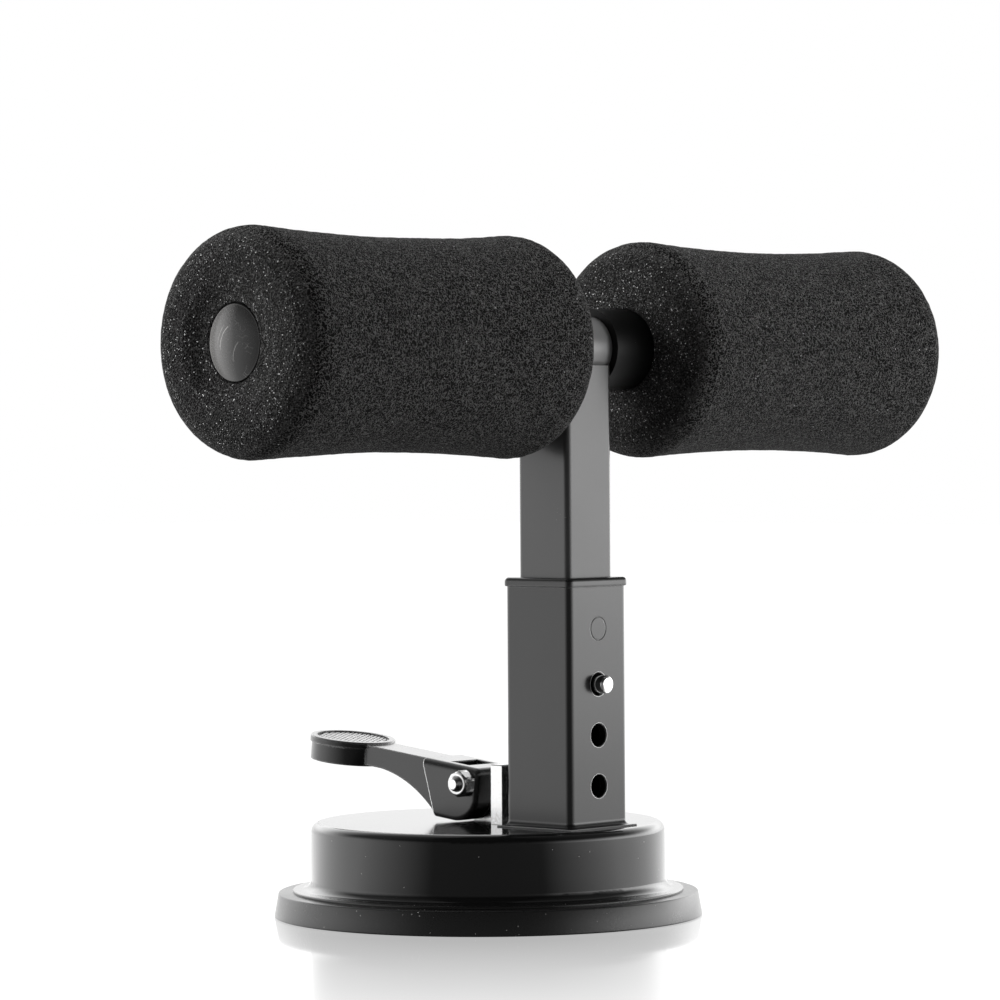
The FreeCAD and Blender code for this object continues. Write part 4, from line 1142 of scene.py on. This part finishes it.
def hub_outline():
    """A thick disc on the membrane with the stud's seat sunk into its top."""
    return rounded(
        [
            (DOME_HEIGHT, 0.05 * MM),
            (DOME_HEIGHT, HUB_RADIUS),
            (DOME_HEIGHT + MEMBRANE, HUB_RADIUS + 1.8 * MM),
            (HUB_TOP, HUB_RADIUS),
            (HUB_TOP, 6.3 * MM),
            (HUB_TOP - 2.0 * MM, 6.3 * MM),
            (HUB_TOP - 2.0 * MM, 0.05 * MM),
        ],
        0.04 * MM,
    )


# %% Cup
def make_cup():
    """Each outline, turned round the upright axis, is one surface."""
    up = (0, 0, 1)
    outlines = {
        "cup_ring": (ring_outline(), "base"),
        "cup_membrane": (membrane_outline(), "base"),
        "cup_hub": (hub_outline(), "stud"),
    }
    pieces = {}
    for name, (outline, body) in outlines.items():
        grid = turned(outline, CUP_STEPS, up, (0, 0, 0))
        pieces[name] = mesh_from_grid(name, grid, "cup_rubber", body, close_rows=True, merge=1e-6)
    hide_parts("suction_cup")
    flattened = pieces["cup_membrane"]
    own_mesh(flattened)


make_cup()

# %% [markdown]
# ## End caps
# A cap is a round head with a low dome and a soft rim, on a hollow plug inside the bar. It was
# pressed in by hand, so its head leans a little. The profile starts in the middle of the plug's
# floor and ends on top of the dome, and both ends close in a point.

# %% Cap shape
CAP_DEPTH = 2.6 * MM
CAP_DOME = 2.2 * MM
CAP_LEAN = 0.07
CAP_RIM = 0.5 * MM
CAP_CLEARANCE = 0.1 * MM
PLUG_RADIUS = 9.35 * MM
PLUG_WALL = 1.8 * MM
PLUG_LENGTH = 8.0 * MM


def cap_profile(radius, thick):
    """(along, radius) from the plug's floor to the top of the dome, with along zero at the bar's
    end. The dome is an arc of radius (r^2 + h^2) / (2 * h)."""
    edge = radius - CAP_RIM
    dome_radius = (edge**2 + CAP_DOME**2) / (2 * CAP_DOME)
    across = edge * np.cos(np.linspace(0.0, np.pi / 2, 24))
    across[-1] = 0.0
    rise = np.sqrt(dome_radius**2 - across**2) - dome_radius + CAP_DOME
    dome = np.stack([thick + rise, across], axis=1)
    rim = quarter((thick - CAP_RIM, edge), CAP_RIM, 90, 0)[:-1]
    inner = PLUG_RADIUS - PLUG_WALL
    start = [
        (0.0, 0.0),
        (0.0, inner),
        (-PLUG_LENGTH, inner),
        (-PLUG_LENGTH, PLUG_RADIUS),
        (0.0, PLUG_RADIUS),
        (0.0, radius),
    ]
    return np.vstack([start, rim, dome])


def make_cap(side, outward):
    """The profile turned round the bar. The head's points then move along by the lean times their
    distance from the axis in Y, and the plug's points stay."""
    low, high, centre = box_of(f"end_cap_{side}")
    end = 0 if side == "left" else 1
    bar_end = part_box("cross_bar")[end].x
    foam_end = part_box(f"foam_roller_{side}")[end].x
    centre[0] = bar_end
    thick = abs(foam_end - bar_end) - CAP_DEPTH
    profile = cap_profile((high[2] - low[2]) / 2 - CAP_CLEARANCE, thick)
    grid = turned(profile, 128, (outward, 0, 0), centre)
    head = np.clip(profile[:, 0] / (0.8 * MM), 0, 1)[:, None]
    grid[..., 0] -= outward * CAP_LEAN * (grid[..., 1] - centre[1]) * head
    piece = mesh_from_grid(f"cap_{side}", grid, "cap_plastic", "post", merge=1e-7)
    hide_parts(f"end_cap_{side}")


for side, outward in (("left", -1), ("right", 1)):
    make_cap(side, outward)


# %% [markdown]
# ## Lock nut and bolt
# The lever turns on an M5 bolt with a lock nut. Both have a hexagon whose corners are cut by a
# cone, so each flat ends in a curved edge. In a grid round the axis that is the smaller of two
# radii: the hexagon's and the cone's. The bolt's end shows its thread, whose radius follows the
# angle and the way along together, so that the ridges climb as a helix.

# %% Nut and bolt shapes
HEX_ACROSS = 8.0 * MM
HEX_CONE = math.tan(math.radians(60))
THREAD_PITCH = 0.8 * MM
THREAD_DEPTH = 0.45 * MM
THREAD_LENGTH = 9.0 * MM
BOLT_POINT = 0.4 * MM
POINT_TAPER = 0.35 * MM
POINT_EDGE = 0.75 * MM
HEX_TURN = math.radians(6.5)
NUT_STEPS = 144
NUT_ANGLES = np.linspace(0.0, 2 * np.pi, NUT_STEPS, endpoint=False)
NUT_FACE = 0.97
BOLT_FACE = 0.96


def hexagon_radius(angles, across):
    """Half the width over flats, divided by the cosine of the angle from the nearest flat."""
    from_flat = (angles + np.pi / 6) % (np.pi / 3) - np.pi / 6
    return across / 2 / np.cos(from_flat)


def cone_rows(face):
    """Rows (along, plain radius or nan, cone's radius) from the round face over the cone to the
    full corners. The face's radius is a share of half the hexagon's width."""
    flat = HEX_ACROSS / 2 * face
    peak = HEX_ACROSS / 2 / math.cos(math.pi / 6)
    run = (peak - flat) / HEX_CONE
    return [(0.0, flat, flat), (run * 0.5, np.nan, (flat + peak) / 2), (run, np.nan, peak)]


def hexagon_grid(rows):
    """The rows' distances along, and for each row the radii: the hexagon or the cone, whichever is
    smaller, where the plain radius is nan, and the plain radius elsewhere."""
    along, plain, cone = (np.array(column) for column in zip(*rows))
    corner = hexagon_radius(NUT_ANGLES - HEX_TURN, HEX_ACROSS)[None, :]
    shaped = np.minimum(corner, cone[:, None])
    return along, np.where(np.isnan(plain)[:, None], shaped, plain[:, None])


def place_grid(along, radii, origin):
    """Points at origin - along * X + radius * (cos, sin) round the X axis."""
    x = origin[0] - along[:, None] + np.zeros_like(radii)
    y = origin[1] + radii * np.cos(NUT_ANGLES)[None, :]
    z = origin[2] + radii * np.sin(NUT_ANGLES)[None, :]
    return np.stack([x, y, z], axis=-1)


# %% Lock nut
def make_lock_nut():
    """A hexagon with a cone at both ends, then the round collar that holds the nylon ring."""
    low, high, middle = box_of("pivot_nut")
    hexagon = 4.3 * MM
    end = high[0] - low[0]
    bore = 2.45 * MM
    front = cone_rows(NUT_FACE)
    flat = front[0][1]
    back = [(hexagon - along, plain, cone) for along, plain, cone in reversed(front)]
    collar = [
        (end - 0.35 * MM, flat, flat),
        (end - 0.1 * MM, flat - 0.12 * MM, flat),
        (end, flat - 0.4 * MM, flat),
        (end, 2.75 * MM, flat),
        (end - 0.15 * MM, bore, flat),
    ]
    along, radii = hexagon_grid([(0.0, bore, bore), *front, *back, *collar])
    grid = place_grid(along, radii, (high[0], middle[1], middle[2]))
    piece = mesh_from_grid("lock_nut", grid, "zinc", "lever", close_rows=True, merge=1e-7)
    sharpen(piece)
    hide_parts("pivot_nut")


# %% Bolt
def make_pivot_bolt():
    """Head on the +X side, a plain shank, and then a thread: its radius is the shank's less the
    depth times a wave of the way along in pitches plus the angle in turns."""
    low, high, middle = box_of("pivot_bolt")
    head = 3.5 * MM
    shank = 2.5 * MM
    length = high[0] - low[0]
    front = cone_rows(BOLT_FACE)
    peak = front[-1][2]
    rows = [(0.0, 0.0, 0.0), *front, (head, np.nan, peak), (head, shank, shank)]
    along, first = hexagon_grid(rows)
    thread_from = length - THREAD_LENGTH
    thread_to = length - BOLT_POINT
    run_out = np.arange(thread_from, thread_to, THREAD_PITCH / 8)
    turns = run_out[:, None] / THREAD_PITCH + NUT_ANGLES[None, :] / (2 * np.pi)
    wave = np.abs((turns % 1.0) * 2 - 1)
    fade = np.clip((run_out - thread_from) / THREAD_PITCH, 0, 1)[:, None]
    taper = np.clip((thread_to - run_out) / THREAD_PITCH, 0, 1)[:, None]
    threads = shank - THREAD_DEPTH * wave * fade - POINT_TAPER * (1 - taper)
    tip = np.zeros((2, NUT_STEPS))
    tip[0] = shank - POINT_EDGE
    radii = np.vstack([first, threads, tip])
    all_along = np.concatenate([along, run_out, [length, length]])
    grid = place_grid(all_along, radii, (high[0], middle[1], middle[2]))
    piece = mesh_from_grid("pivot_bolt_threaded", grid, "zinc", "lever", merge=1e-7)
    sharpen(piece)
    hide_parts("pivot_bolt")


def sharpen(piece, degrees=32):
    """Edges that turn by more than the angle stay sharp in the smooth shading."""
    piece.data.set_sharp_from_angle(angle=math.radians(degrees))


make_lock_nut()
make_pivot_bolt()

# %% [markdown]
# ## Strip spring
# The button is riveted to one leg of a bent steel strip inside the tube. The model's strip has the
# right shape, but it is rigid, and when the button is pressed it would cut through its own leg. A
# copy of it, with its loose triangles joined, takes its place and rides on the post.


def make_strip_spring():
    """A joined copy of the model's strip, shaded smooth with sharp edges, riding on the post."""
    mesh = frame["nodes"]["button_spring"].data.copy()
    close_poles(mesh, 1e-6)
    mesh.shade_smooth()
    piece = put("strip_spring", mesh)
    sharpen(piece)
    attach(piece, "post")
    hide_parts("button_spring")
    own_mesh(piece)


make_strip_spring()
